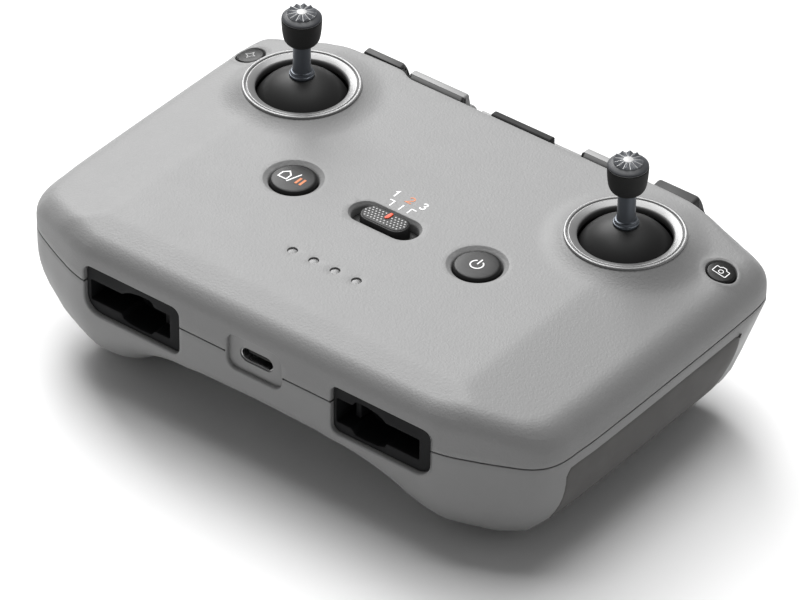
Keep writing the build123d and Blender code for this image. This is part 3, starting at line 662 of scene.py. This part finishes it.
# ------------------------ materials
def finish_of(
    name, colour, rough, metal=0.0, grain=5.0, bump=0.1, depth=0.01,
    vary=0.06, edge_lightening=0.0, hide=False, spec=0.5, spread=0.04,
):
    """Surface with fine grain, uneven roughness and slightly lighter edges where it is pointy; on the crown's
    ridges and the shutter's bevel that lightening is painted highlight.

    grain is in cells per millimetre and depth in millimetres; hide adds the cells of a leather grain.
    """
    mat = bpy.data.materials.new(name)
    mat.use_nodes = True
    links = mat.node_tree.links
    shader = mat.node_tree.nodes["Principled BSDF"]
    shader.inputs["Metallic"].default_value = metal
    shader.inputs["Specular IOR Level"].default_value = spec

    def node(kind, settings=(), **numbers):
        made = mat.node_tree.nodes.new("ShaderNode" + kind)
        for word, setting in dict(settings).items():
            setattr(made, word, setting)
        for word, number in numbers.items():
            made.inputs[word.replace("_", " ")].default_value = number
        return made

    place = node("TexCoord").outputs["Object"]
    scale = node("VectorMath", {"operation": "SCALE"}, Scale=1000)
    links.new(place, scale.inputs[0])

    def noise(size, detail=2.0):
        made = node("TexNoise", Scale=size, Detail=detail)
        links.new(scale.outputs[0], made.inputs["Vector"])
        return made.outputs["Fac"]

    def ramp(source, low, high, out_low, out_high):
        made = node("MapRange", From_Min=low, From_Max=high, To_Min=out_low, To_Max=out_high)
        links.new(source, made.inputs["Value"])
        return made.outputs["Result"]

    fine = noise(grain)
    if hide:
        cells = node("TexVoronoi", {"feature": "SMOOTH_F1"}, Scale=grain * 0.55)
        links.new(scale.outputs[0], cells.inputs["Vector"])
        both = node("Math", {"operation": "ADD"})
        links.new(fine, both.inputs[0])
        links.new(cells.outputs["Distance"], both.inputs[1])
        fine = both.outputs[0]
    push = node("Bump", Strength=bump, Distance=depth * 0.001)
    links.new(fine, push.inputs["Height"])
    links.new(push.outputs["Normal"], shader.inputs["Normal"])
    links.new(ramp(noise(0.12, 4.0), 0.3, 0.7, rough - vary, rough + vary), shader.inputs["Roughness"])
    tone = node("Mix", {"data_type": "RGBA"})
    tone.inputs["A"].default_value = (*[c * (1 - spread) for c in colour], 1)
    tone.inputs["B"].default_value = (*[min(c * (1 + spread), 1) for c in colour], 1)
    links.new(noise(0.35, 3.0), tone.inputs["Factor"])
    edge = node("Mix", {"data_type": "RGBA"})
    # edges lighter where the surface is pointy: painted highlight on the crown and the shutter
    edge.inputs["B"].default_value = (*[min(c * 1.6 + 0.05, 1) for c in colour], 1)
    lightened_edges = ramp(node("NewGeometry").outputs["Pointiness"], 0.52, 0.6, 0.0, edge_lightening)
    links.new(lightened_edges, edge.inputs["Factor"])
    links.new(tone.outputs["Result"], edge.inputs["A"])
    links.new(edge.outputs["Result"], shader.inputs["Base Color"])
    return mat


def grey(v, warm=0.0):
    return (v * (1 + warm), v, v * (1 - warm))


def ink(name, colour, rough=0.5):
    return finish_of(name, colour, rough, grain=6.0)


HIDE = finish_of(
    "grained_grey", grey(0.225), 0.5, grain=3.4, bump=0.8, depth=0.06,
    vary=0.015, hide=True, edge_lightening=0.15, spec=0.35, spread=0.015,
)
SATIN = finish_of(
    "satin_grey", grey(0.225), 0.45, grain=4.0, depth=0.02,
    vary=0.02, edge_lightening=0.15, spec=0.4, spread=0.02,
)
PAD = finish_of("grip_rubber", grey(0.085, 0.03), 0.72, grain=3.5, bump=0.35, depth=0.03)
CHARCOAL = finish_of("charcoal", (0.006, 0.0063, 0.0069), 0.65, spec=0.16, grain=4.0, bump=0.2, depth=0.02)
PIT = finish_of("pit_black", grey(0.008), 0.6, grain=3.0, depth=0.03)
RING = finish_of("ring_metal", grey(0.21), 0.34, metal=0.4, bump=0.03, vary=0.04)
DOME = finish_of("dome_black", grey(0.011), 0.5, spec=0.3, grain=6.0, bump=0.25, depth=0.02, vary=0.04)
SHAFT = finish_of("shaft_metal", (0.085, 0.095, 0.11), 0.34, metal=0.6, bump=0.05)
KNOB = finish_of("knob_rubber", grey(0.005), 0.75, bump=0.3, depth=0.02)
CAP = finish_of("cap_grey", (0.035, 0.037, 0.042), 0.45)
# painted highlight: the crown's ridge crests are made much lighter
CROWN = finish_of("crown_metal", (0.11, 0.115, 0.125), 0.35, metal=0.4, bump=0.08, edge_lightening=0.8)
# painted highlight: light grey for the glints on the stick's tip
GLINT = finish_of("painted_glint", grey(0.42), 0.4, metal=0.1, bump=0.05)
BLACK = finish_of("button_black", grey(0.012), 0.38, grain=6.0, bump=0.05, vary=0.02, spec=0.2)
WHITE = ink("ink_white", grey(0.9))
GREY_INK = ink("ink_grey", grey(0.3))
ORANGE = ink("ink_orange", (0.56, 0.15, 0.03))
RED = ink("ink_red", (0.66, 0.06, 0.01), 0.45)
LENS = finish_of("smoked_lens", grey(0.02), 0.25, grain=6.0, bump=0.05)
STEEL = finish_of("port_steel", grey(0.62), 0.22, metal=1.0, bump=0.05)
DIAL = finish_of("dial_grey", grey(0.055), 0.6, spec=0.3, grain=4.0, bump=0.2, depth=0.02)
# painted highlight: the shutter's pointy edges, its top bevel, are made lighter
SHUTTER = finish_of("shutter_grey", grey(0.028), 0.6, spec=0.3, grain=4.0, bump=0.2, depth=0.02, edge_lightening=0.4)
FACING = finish_of("lip_rubber", grey(0.15), 0.65, grain=4.0, bump=0.3, depth=0.02)
BOARD = finish_of("board_green", (0.02, 0.09, 0.05), 0.5, grain=3.0, depth=0.03)
WRAP = finish_of("cell_wrap", (0.08, 0.16, 0.36), 0.4, grain=3.0, depth=0.03)
BRASS = finish_of("brass", (0.7, 0.5, 0.22), 0.35, metal=0.9, grain=3.0, depth=0.03)
INNER = finish_of("inner_steel", grey(0.4), 0.4, metal=0.8, grain=3.0, depth=0.03)

# ------------------------ pieces: shells and front
make_upper_shell().object("upper_shell_skin", "root", "shell_plastic", HIDE, ["upper_shell"], angle=38)
make_lower_shell().object("lower_shell_skin", "root", "lower_plastic", SATIN, ["lower_shell"], angle=38)
for side, word in SIDES:
    make_pad(side).object(f"{word}_grip_skin", "root", "grip_rubber", PAD, [f"{word}_grip_pad"], angle=60)


STORED_STICK = [
    (0, -3.2), (3.9, -3.2), (4.5, -3.5), (5.3, -4.5), (8, -4.65), (11.6, -4.45), (13.4, -3.9), (14.0, -2.7),
    (22.9, -2.7), (22.9, 2.7), (13.8, 2.7), (12.8, 3.4), (11.2, 4.1), (8.6, 4.55), (5.8, 4.6), (5.0, 4.2),
    (4.5, 3.3), (3.9, 3.2), (0, 3.2),
]


def make_tray(start):
    """Dark tray of the right slot: its face, and the hollow that takes a stick lying on its side."""
    shape = Shape()
    outline = inset(rounded(box(WINDOW_X, WINDOW_Z), WINDOW_RADII), 0.25)
    hollow = rounded([(start + x, 28.0 + z) for x, z in STORED_STICK], 0.35, n=4)
    grid = np.stack(np.meshgrid(np.arange(20, 50, 2.0), np.arange(22, 35, 2.0)), -1).reshape(-1, 2)
    face, round_off = 1.05, 0.22        # depth of the tray's face, and the rounding of the hollow's mouth
    flat, tris = fill([outline, inset(hollow, -round_off)], grid, 0.3)
    shape.add(in_front(flat, face), tris)
    rows = []
    for t in np.radians([0, 30, 60, 90]):
        loop = inset(hollow, -round_off * (1 - sin(t)))
        rows.append(in_front(loop, face + round_off * (1 - cos(t))))
    rows += [in_front(hollow, TRAY_DEPTH - 0.5), in_front(inset(hollow, 0.5), TRAY_DEPTH)]
    return shape.strip(rows).cap(rows[-1])


for side, word, start in ((1, "right", 22.4), (-1, "left", 25.0)):
    tray = make_tray(start)
    tray.points = [(x * side, y, z) for x, y, z in tray.points]
    tray.object(f"{word}_tray", "root", "charcoal_plastic", CHARCOAL, [f"{word}_slot_insert"], angle=40)
    rib = plate(rounded(box((start + 2.6, start + 4.1), (25.2, 30.8)), 0.3, 4), 0, 4.4, 0.3)
    rib.points = [(x * side, FRONT + TRAY_DEPTH - z, y) for x, y, z in rib.points]
    rib.object(f"{word}_tray_rib", "root", "charcoal_plastic", CHARCOAL)

# charging port: a floor behind the shallow pocket, the metal mouth and its tongue
def port_row(length, width, depth):
    return in_front(stadium(0, PORT_Z_MID, length, width), depth)


pocket = rounded(box(PORT_X, PORT_Z), PORT_RADIUS)
grid = np.stack(np.meshgrid(np.arange(-7, 8, 1.6), np.arange(27, 35, 1.6)), -1).reshape(-1, 2)
flat, tris = fill([pocket, stadium(0, PORT_Z_MID, 9.5, 3.8)], grid, 0.4)
sizes = ((0, 0), (0.12, 0.06), (0.2, 0.2), (0.2, 2.2))
port_floor = Shape().add(in_front(flat, 1.0), tris)
port_floor.strip([port_row(9.5 - k, 3.8 - k, 1.0 + d) for k, d in sizes])
port_floor.object("port_floor", "root", "shell_plastic", SATIN)
sizes = ((0.0, 8.0), (0.0, 1.5), (0.1, 1.38), (0.3, 1.34), (0.5, 1.4), (0.6, 1.55), (0.6, 8.0))
tube = Shape().strip([port_row(9.3 - k, 3.6 - k, d) for k, d in sizes])
tube.object("port_mouth", "root", "steel", STEEL, ["port_shell"])
tongue = plate(rounded(box((-3.3, 3.3), (30.6, 31.2)), 0.2, 3), 0, 5.0, 0.15)
tongue.points = [(x, FRONT + 7.4 - z, y) for x, y, z in tongue.points]
tongue.object("port_blade", "root", "charcoal_plastic", PIT, ["port_tongue"])
Shape().cap(port_row(9.3, 3.6, 8.0)).object("port_back", "root", "charcoal_plastic", PIT)

# ------------------------ pieces: control sticks
RING_PROFILE = [
    (13.4, 43.2), (13.75, 44.2), (13.9, 44.75), (13.93, 45.0), (13.87, 45.22), (13.7, 45.32),
    (13.45, 45.34), (13.2, 45.3), (13.08, 45.2), (13.04, 45.05), (12.98, 44.98), (12.9, 45.0),
    (12.84, 45.1), (12.72, 45.17), (12.55, 45.15), (11.2, 44.62), (10.95, 44.5), (10.82, 44.3),
    (10.8, 44.0), (10.8, 42.8), (11.2, 42.4), (13.2, 42.4), (13.4, 43.2),
]
DOME_R = 12.4
dome_turns = np.radians(np.linspace(84, 14.6, 30))
DOME_PROFILE = [(DOME_R * sin(a), PIVOT_Z + DOME_R * cos(a)) for a in dome_turns]
DOME_PROFILE += [(2.9, 47.6), (1.3, 47.6), (1.3, 46.6)]
SHAFT_PROFILE = [
    (0.9, 47.55), (2.85, 47.55), (2.97, 47.7), (2.97, 48.1), (2.9, 48.25), (2.66, 48.32), (2.6, 48.4),
    (2.6, 48.8), (2.52, 48.95), (2.25, 49.02), (2.12, 49.12), (2.08, 49.4), (2.08, 56.9),
]
KNOB_PROFILE = [
    (2.1, 57.0), (2.12, 56.55), (2.4, 56.4), (2.85, 56.45), (3.3, 56.7), (3.75, 57.15), (4.08, 57.7),
    (4.3, 58.4), (4.45, 59.3), (4.57, 60.4), (4.65, 61.6), (4.7, 62.7), (4.7, 63.05), (4.6, 63.2),
    (4.5, 63.22),
]
SEAM_PROFILE = [(4.2, 63.2), (4.54, 63.21), (4.6, 63.26), (4.54, 63.31), (4.2, 63.33)]
CAP_PROFILE = [
    (4.3, 63.3), (4.58, 63.34), (4.66, 63.43), (4.62, 63.58), (4.45, 63.75), (4.1, 63.95), (3.7, 64.14),
    (3.3, 64.3), (2.9, 64.4), (0, 64.4),
]
CROWN_DOT = [(1.22, 64.7), (1.22, 64.9), (1.1, 65.02), (0.7, 65.1), (0, 65.12)]
# (radius, height in a valley, rise of a ridge) of the serrated tip
CROWN_ROWS = [
    (3.35, 64.1, 0), (3.35, 64.38, 0), (3.3, 64.48, 0.7), (3.05, 64.5, 0.66),
    (2.2, 64.62, 0.45), (1.3, 64.85, 0.16), (0.9, 64.9, 0.05),
]
RIDGES = 12
BRICK = [(0, 1, 3, 2), (4, 6, 7, 5), (0, 2, 6, 4), (1, 5, 7, 3), (0, 4, 5, 1), (2, 3, 7, 6)]


def make_crown():
    """Serrated tip: radial ridges that rise towards the rim."""
    n = 8 * RIDGES
    turns = np.arange(n) * 2 * pi / n
    ridge = np.abs(((np.arange(n) / 8) % 1) - 0.5) * 2          # 1 on a ridge, 0 in a valley
    rows = []
    for r, base, rise in CROWN_ROWS:
        rows.append([(r * cos(a), r * sin(a), base + rise * w) for a, w in zip(turns, ridge)])
    return Shape().strip(rows).cap(rows[-1])


def make_glint_lines():
    """Thin light lines along the valleys of the serrated tip: painted glints."""
    glint_lines, w = Shape(), 0.055
    for k in range(RIDGES):
        a = radians(15 + 360 / RIDGES * k)
        c, s = cos(a), sin(a)
        low = [(r * c - t * s, r * s + t * c, z) for r, z in ((1.1, 64.88), (3.3, 64.46)) for t in (-w, w)]
        high = [(x, y, z + 0.07) for x, y, z in low]
        glint_lines.add(low + high, BRICK)
    return glint_lines


for side, word in SIDES:
    place = Matrix.Translation((side * STICK[0], STICK[1], 0))
    body = f"{word}_stick"
    ring = lathe(RING_PROFILE, 128)
    ring.object(f"{word}_ring", "root", "ring_metal", RING, [f"{word}_stick_ring"], angle=50, place=place)
    # the knob's seam ring, the crown's dot and the lines in its valleys are light grey: painted glints
    for part, shape, slot, material, angle, packed in (
        ("dome", lathe(DOME_PROFILE, 96), "dome_plastic", DOME, 32, True),
        ("shaft", lathe(SHAFT_PROFILE, 64), "stick_metal", SHAFT, 40, True),
        ("knob", lathe(KNOB_PROFILE, 80), "knob_rubber", KNOB, 45, True),
        ("knob_seam", lathe(SEAM_PROFILE, 80), "crown_metal", GLINT, 32, False),
        ("knob_cap", lathe(CAP_PROFILE, 80), "crown_metal", CAP, 45, False),
        ("crown", make_crown(), "crown_metal", CROWN, 25, True),
        ("crown_dot", lathe(CROWN_DOT, 40), "crown_metal", GLINT, 32, False),
        ("crown_veins", make_glint_lines(), "crown_metal", GLINT, 32, False),
    ):
        nodes = [f"{word}_stick_{part}"] if packed else []
        shape.object(f"{word}_{part}", body, slot, material, nodes, angle, place)

# ------------------------ pieces: buttons, switch and lights
FACE_CAP = [(5.42, 39.0), (5.42, 42.45), (5.36, 42.68), (5.2, 42.86), (4.95, 42.97), (4.6, 43.02)]
FACE_CAP += [(2.5, 43.05), (0, 43.06)]
FACE_INK = (42.95, 43.1)            # heights of the signs on the flat buttons
SIDE_CAP = [(3.32, -3.0), (3.32, -0.25), (3.26, -0.05), (3.1, 0.12), (2.9, 0.2), (1.5, 0.24), (0, 0.25)]
SIDE_INK = (0.15, 0.29)


def push_button(word, cap, place):
    cap.object(f"{word}_cap", word, "button_plastic", BLACK, [f"{word}_button"], angle=50, place=place)


def sign(name, body, place, line, width, heights, material, closed=False):
    """A printed line of a button's sign or of the marks on the top."""
    stroke(line, width, *heights, closed=closed).object(name, body, "light_pipe", material, place=place)


for side, word in ((1, "power"), (-1, "home")):
    place = Matrix.Translation((side * BUTTON[0], BUTTON[1], 0))
    push_button(word, lathe(FACE_CAP, 80), place)
    if side > 0:
        sign("power_icon", word, place, arc(0, -0.2, 1.5, 120, 420, 30), 0.3, FACE_INK, WHITE)
        sign("power_icon_bar", word, place, [(0, -0.1), (0, 1.95)], 0.3, FACE_INK, WHITE)
    else:
        house = [(-3.35, -1.5), (-3.35, 0.3), (-2.2, 1.45), (-1.05, 0.3), (-1.05, -1.5)]
        sign("home_icon", word, place, house, 0.32, FACE_INK, WHITE, closed=True)
        sign("home_slash", word, place, [(-0.55, -2.0), (0.75, 2.0)], 0.32, FACE_INK, WHITE)
        for k, x in enumerate((1.55, 2.75)):
            sign(f"pause_bar_{k + 1}", word, place, [(x, -1.5), (x, 0.9)], 0.6, FACE_INK, ORANGE)

for side, word in ((1, "camera"), (-1, "function")):
    drop = (SIDE_BUTTON[0] - CREASE_X) * SIDE_TAN
    place = Matrix.Translation((side * SIDE_BUTTON[0], SIDE_BUTTON[1], TOP - drop))
    place = place @ Matrix.Rotation(side * SIDE_SLOPE, 4, "Y")
    push_button(word, lathe(SIDE_CAP, 64), place)
    if side > 0:
        case = [(-1.75, -1.15), (1.75, -1.15), (1.75, 0.85), (0.85, 0.85), (0.5, 1.35), (-0.5, 1.35)]
        case += [(-0.85, 0.85), (-1.75, 0.85)]
        sign("camera_icon", word, place, rounded(case, 0.15, 3), 0.2, SIDE_INK, WHITE, closed=True)
        rim = arc(0, -0.15, 0.55, 0, 345, 24)
        sign("camera_icon_lens", word, place, rim, 0.18, SIDE_INK, WHITE, closed=True)
    else:
        star = []
        for k in range(8):
            r = 0.62 if k % 2 else 1.35
            star.append((r * cos(k * pi / 4), r * sin(k * pi / 4)))
        sign("function_icon", word, place, star, 0.2, SIDE_INK, GREY_INK, closed=True)

place = Matrix.Translation((0, SWITCH_Y, 0))
slider = plate(stadium(0, 0, 12.7, 6.1, 20), 39.5, 43.45, 0.4)
slider.object("mode_slider", "mode", "button_plastic", BLACK, ["mode_knob"], angle=50, place=place)
slider_top = plate(stadium(0, 0, 11.9, 5.2, 20), 43.0, 43.6, 0.25)
slider_top.object("mode_top", "mode", "button_plastic", PIT, angle=50, place=place)
dots = Shape()
DOT_PITCH = 0.9
DOT_PROFILE = [(0.23, 43.5), (0.22, 43.66), (0.12, 43.73), (0, 43.74)]
for i in range(-7, 8):
    for j in range(-2, 3):
        x, y = (i + 0.5 * (j % 2)) * DOT_PITCH, j * DOT_PITCH * 0.92
        at_mark = -0.6 < x < 1.1 and y > -0.2
        if np.hypot(max(abs(x) - 3.3, 0), y) <= 2.35 and not at_mark:
            dot = lathe(DOT_PROFILE, 8, x, y)
            dots.add(dot.points, dot.faces)
DOT = finish_of("dot_grey", grey(0.55), 0.4, grain=6.0, depth=0.03)
dots.object("mode_dots", "mode", "light_pipe", DOT, place=place)
corners = [(-0.3, 0.0), (0.15, -0.15), (0.65, 0.3), (0.8, 1.2), (0.7, 2.3), (-0.05, 2.35), (-0.3, 1.2)]
plate(rounded(corners, 0.2, 4), 43.5, 43.82, 0.1).object("mode_mark", "mode", "light_pipe", RED, place=place)
switch_bed = plate(stadium(0, SWITCH_Y, 17.9, 7.1, 20), 38.6, 40.2, 0.1)
switch_bed.object("switch_bed", "root", "charcoal_plastic", PIT, ["mode_switch_body"])

TOP_INK = (TOP - 0.08, TOP + 0.05)
marks = {
    "digit_one": (0.34, [(-4.75, 4.45), (-4.15, 4.98), (-4.15, 2.72)], WHITE),
    "digit_two": (0.34, arc(-0.1, 4.3, 0.66, 165, -35, 12) + [(-0.85, 2.82), (0.65, 2.82)], ORANGE),
    "digit_three": (0.34, arc(3.6, 4.4, 0.55, 160, -90, 10) + arc(3.6, 3.3, 0.6, 80, -160, 12)[1:], WHITE),
    "tick_left": (0.3, [(-2.75, -0.66), (-2.75, 1.4), (-4.07, 1.4)], WHITE),
    "tick_middle": (0.3, [(-0.2, -0.65), (-0.2, 1.45)], WHITE),
    "tick_right": (0.3, [(2.1, -0.54), (2.1, 1.37), (3.42, 1.37)], WHITE),
}
for word, (width, line, colour) in marks.items():
    sign(word, "root", None, line, width, TOP_INK, colour)
LENS_PROFILE = [(1.17, 41.5), (1.17, 42.55), (1.05, 42.68), (0.6, 42.72), (0, 42.74)]
for k, x in enumerate(LIGHTS_X):
    lens = lathe(LENS_PROFILE, 24, x, LED_Y)
    lens.object(f"light_lens_{k + 1}", "root", "light_pipe", LENS, ["light_pipes"] if k == 0 else ())

# ------------------------ pieces: rear edge
DIAL_AXLE = (38.9, 32.5)
PADDLE_R = 12.5
SURROUND_Y = 44.72          # rear face of the frames round the dial and the shutter
EAR_Z = 41.2                # top of the holder's two lips
BEAM_Z = 35.5               # top of the bar between them


def paddle(lead, radii, tail, ribs=False):
    """(y, z) loop of the dial or the shutter: a line over the top, a face round the axle, a line under it."""
    start = degrees(atan2(lead[-1][1] - DIAL_AXLE[1], lead[-1][0] - DIAL_AXLE[0]))
    face = []
    for k, a in enumerate(np.radians(np.linspace(start - 1.5, -36, 81))):
        r = PADDLE_R - (0.3 if ribs and k % 4 in (2, 3) and 6 < k < 76 else 0.0)
        face.append((DIAL_AXLE[0] + r * cos(a), DIAL_AXLE[1] + r * sin(a)))
    top = rounded([tail[-1]] + lead + [face[0]], [0] + radii + [0], 5)[1:-1]
    return np.concatenate([top, face, tail])


# the dial is stepped behind its window, so that its edges clear the window as it turns
over = [(41.6, 37.6), (46.6, 38.6), (46.95, 40.15), (48.2, 40.3)]
under = [(46.95, 25.2), (46.7, 26.8), (41.6, 27.2)]
wheel = bar(paddle(over, [0.4, 0.1, 0.2, 0.7], under, ribs=True), (-47.9, -36.9), 0.6)
wheel.object("dial_wheel", "dial", "dial_plastic", DIAL, ["gimbal_dial"], angle=30)
press = bar(paddle([(41.6, 39.6), (48.2, 40.3)], [0.4, 0.7], [(41.6, 25.6)]), (35.9, 47.6), 0.9)
press.object("shutter_cap", "shutter", "dial_plastic", SHUTTER, ["shutter_button"], angle=30)
for side, word in ((1, "shutter"), (-1, "dial")):

    def behind(loop, y):
        return [(x * side, y, z) for x, z in loop]

    outer = rounded(box((34.0, 52.0), (23.3, 40.9)), 1.6)
    inner = rounded(box((35.3, 48.2), (24.4, 40.5)), 0.8)
    flat, tris = fill([outer, inner], np.array([(50, 25), (50, 30), (50, 35), (50, 39)]), 0.3)
    surround = Shape().add(behind(flat, SURROUND_Y), tris)
    for loop, sizes in (
        (outer, ((0, SURROUND_Y), (-0.12, 44.6), (-0.12, 42.4))),
        (inner, ((0, SURROUND_Y), (0.08, 44.6), (0.08, 42.6))),
    ):
        surround.strip([behind(inset(loop, k), y) for k, y in sizes])
    surround.cap(behind(inset(inner, 0.08), 42.6))
    surround.object(f"{word}_surround", "root", "charcoal_plastic", CHARCOAL, [f"{word}_bezel"])


def head_loop(top):
    """(y, z) loop of the holder's head, up to a height."""
    rear = [(46.75 + 0.8 * sin(a), 40.4 + 0.8 * cos(a)) for a in np.radians(np.linspace(10, 90, 6))]
    rear += [(47.9, 38.7), (48.2, 37.2)]
    rear += [(48.2 + 3.9 * sin(a), 28 + 9.2 * cos(a)) for a in np.radians(np.linspace(12, 90, 10))]
    rear = [(y, z) for y, z in rear if z <= top]
    foot = [(48 + 4.1 * cos(a), 26 - 4 * sin(a)) for a in np.radians(np.linspace(0, 90, 8))]
    slope = 44.6 + max(top - 36, 0) * 0.7 / 5.2
    crest = 46.75 if top > 41 else rear[0][0] - 0.1
    corners = [(44.6, 24.5), (44.6, min(36.0, top - 1.5)), (slope, top), (crest, top)]
    front = rounded(corners, (0.3, 0.5, 0.15, 0), 4)
    return np.array([tuple(p) for p in front] + rear + foot + [(46.4, 22.0)])


corners = [(44.58, 30), (44.6, 36), (45.28, 41.17), (44.7, 40.5), (43.6, 37.5), (43.4, 36.0), (43.4, 30)]
FACING_LOOP = rounded(corners, (0, 0.1, 0.05, 0.1, 0.3, 0.3, 0.2), 4)
for side, word in SIDES:
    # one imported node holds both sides, so the right side's piece stands for it
    head, pads = ([node] if side > 0 else [] for node in ("holder_head", "lip_pads"))
    lip = bar(head_loop(EAR_Z), sorted((side * 17.0, side * 33.0)), 0.6)
    lip.object(f"{word}_lip", "holder", "lower_plastic", SATIN, head, angle=35)
    facing = bar(FACING_LOOP, sorted((side * 17.5, side * 32.4)), 0.3)
    facing.object(f"{word}_lip_facing", "holder", "grip_rubber", FACING, pads, angle=35)
    # painted shade: a thin black cap on the lip's inner end stands in for the shade on that end face
    painted_shade_lip_end = bar(FACING_LOOP, sorted((side * 17.02, side * 17.5)), 0.05)
    painted_shade_lip_end.object(f"{word}_lip_end", "holder", "grip_rubber", PIT)
bar(head_loop(BEAM_Z), (-15.6, 15.6), 0.3).object("head_beam", "holder", "lower_plastic", SATIN, angle=35)
corners = [(44.1, 37.1), (46.3, 37.1), (46.3, 40.7), (45.8, 41.05), (44.5, 41.05), (44.1, 40.7)]
middle = bar(rounded(corners, (0.1, 0.1, 0.3, 0.3, 0.3, 0.3), 4), (-8.5, 8.5), 0.35)
middle.object("centre_lip_bar", "holder", "knob_rubber", KNOB, ["centre_lip"])
strip_loop = rounded(box((42.25, 42.9), (31.2, 39.5)), 0.2, 3)
for side, word in SIDES:
    nodes = ["slot_strips"] if side > 0 else []
    wall_strip = bar(strip_loop, sorted((side * 18.2, side * 28.5)), 0.2)
    wall_strip.object(f"{word}_wall_strip", "root", "grip_rubber", FACING, nodes)

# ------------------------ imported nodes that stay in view
BY_SLOT = {
    "board": BOARD, "cell_wrap": WRAP, "brass": BRASS, "steel": INNER, "dark_steel": INNER,
    "ring_metal": RING, "light_pipe": LENS, "charcoal_plastic": CHARCOAL, "button_plastic": BLACK,
    "dome_plastic": DOME, "shell_plastic": HIDE, "lower_plastic": SATIN, "grip_rubber": PAD,
    "knob_rubber": KNOB, "stick_metal": SHAFT, "crown_metal": CROWN, "dial_plastic": DIAL,
}
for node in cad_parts.values():
    if node.hide_render:
        continue
    for k, held in enumerate(node.data.materials):
        word = held.name.split(".")[0] if held else ""
        node.data.materials[k] = BY_SLOT.get(word, CHARCOAL)

# ------------------------ floor, light and camera
floor_mesh = bpy.data.meshes.new("floor")
floor_mesh.from_pydata([(-3, -3, 0), (3, -3, 0), (3, 3, 0), (-3, 3, 0)], [], [(0, 1, 2, 3)])
FLOOR = finish_of("floor_white", grey(0.86), 0.9, grain=0.05, bump=0.0, depth=0.03, vary=0.02, spread=0.0)
floor_mesh.materials.append(FLOOR)
put("floor", floor_mesh)


def softbox(name, at, size, power):
    """Rectangular light that faces the origin; lengths in metres, power in watts."""
    light = bpy.data.lights.new(name, "AREA")
    light.shape = "RECTANGLE"
    light.size, light.size_y = size
    light.energy = power
    lamp = put(name, light)
    lamp.location = at
    lamp.rotation_euler = (-Vector(at)).to_track_quat("-Z", "Y").to_euler()


softbox("key", (-1.0, 0.7, 1.0), (0.9, 0.9), 25)
softbox("overhead", (-0.15, 0.23, 1.2), (1.0, 0.9), 14.6)
world = bpy.data.worlds.new("studio")
world.use_nodes = True
background = world.node_tree.nodes["Background"]
background.inputs["Color"].default_value = (1, 1, 1, 1)
background.inputs["Strength"].default_value = 0.2
bpy.context.scene.world = world
bpy.context.scene.view_settings.view_transform = "Standard"

camera_data = bpy.data.cameras.new("camera")
camera_data.lens, camera_data.sensor_width = 269.3, 36
camera_data.clip_start, camera_data.clip_end = 0.1, 20
camera = put("camera", camera_data)
# where the photo was taken from, solved from points in it; angles in degrees, lengths in metres
AZIMUTH, ELEVATION, ROLL = (radians(a) for a in (37.847, 36.816, 0.562))
DISTANCE, LOOK_AT = 1.31169, Vector((0.020921, -0.026892, 0.043))
flat_part = cos(ELEVATION)
away = Vector((sin(AZIMUTH) * flat_part, -cos(AZIMUTH) * flat_part, sin(ELEVATION)))
level = Vector((cos(AZIMUTH), sin(AZIMUTH), 0))
upright = away.cross(level)
right = level * cos(ROLL) + upright * sin(ROLL)
upward = upright * cos(ROLL) - level * sin(ROLL)
turned = Matrix((right, upward, away)).transposed().to_4x4()
camera.matrix_world = Matrix.Translation(LOOK_AT + away * DISTANCE) @ turned
bpy.context.scene.camera = camera
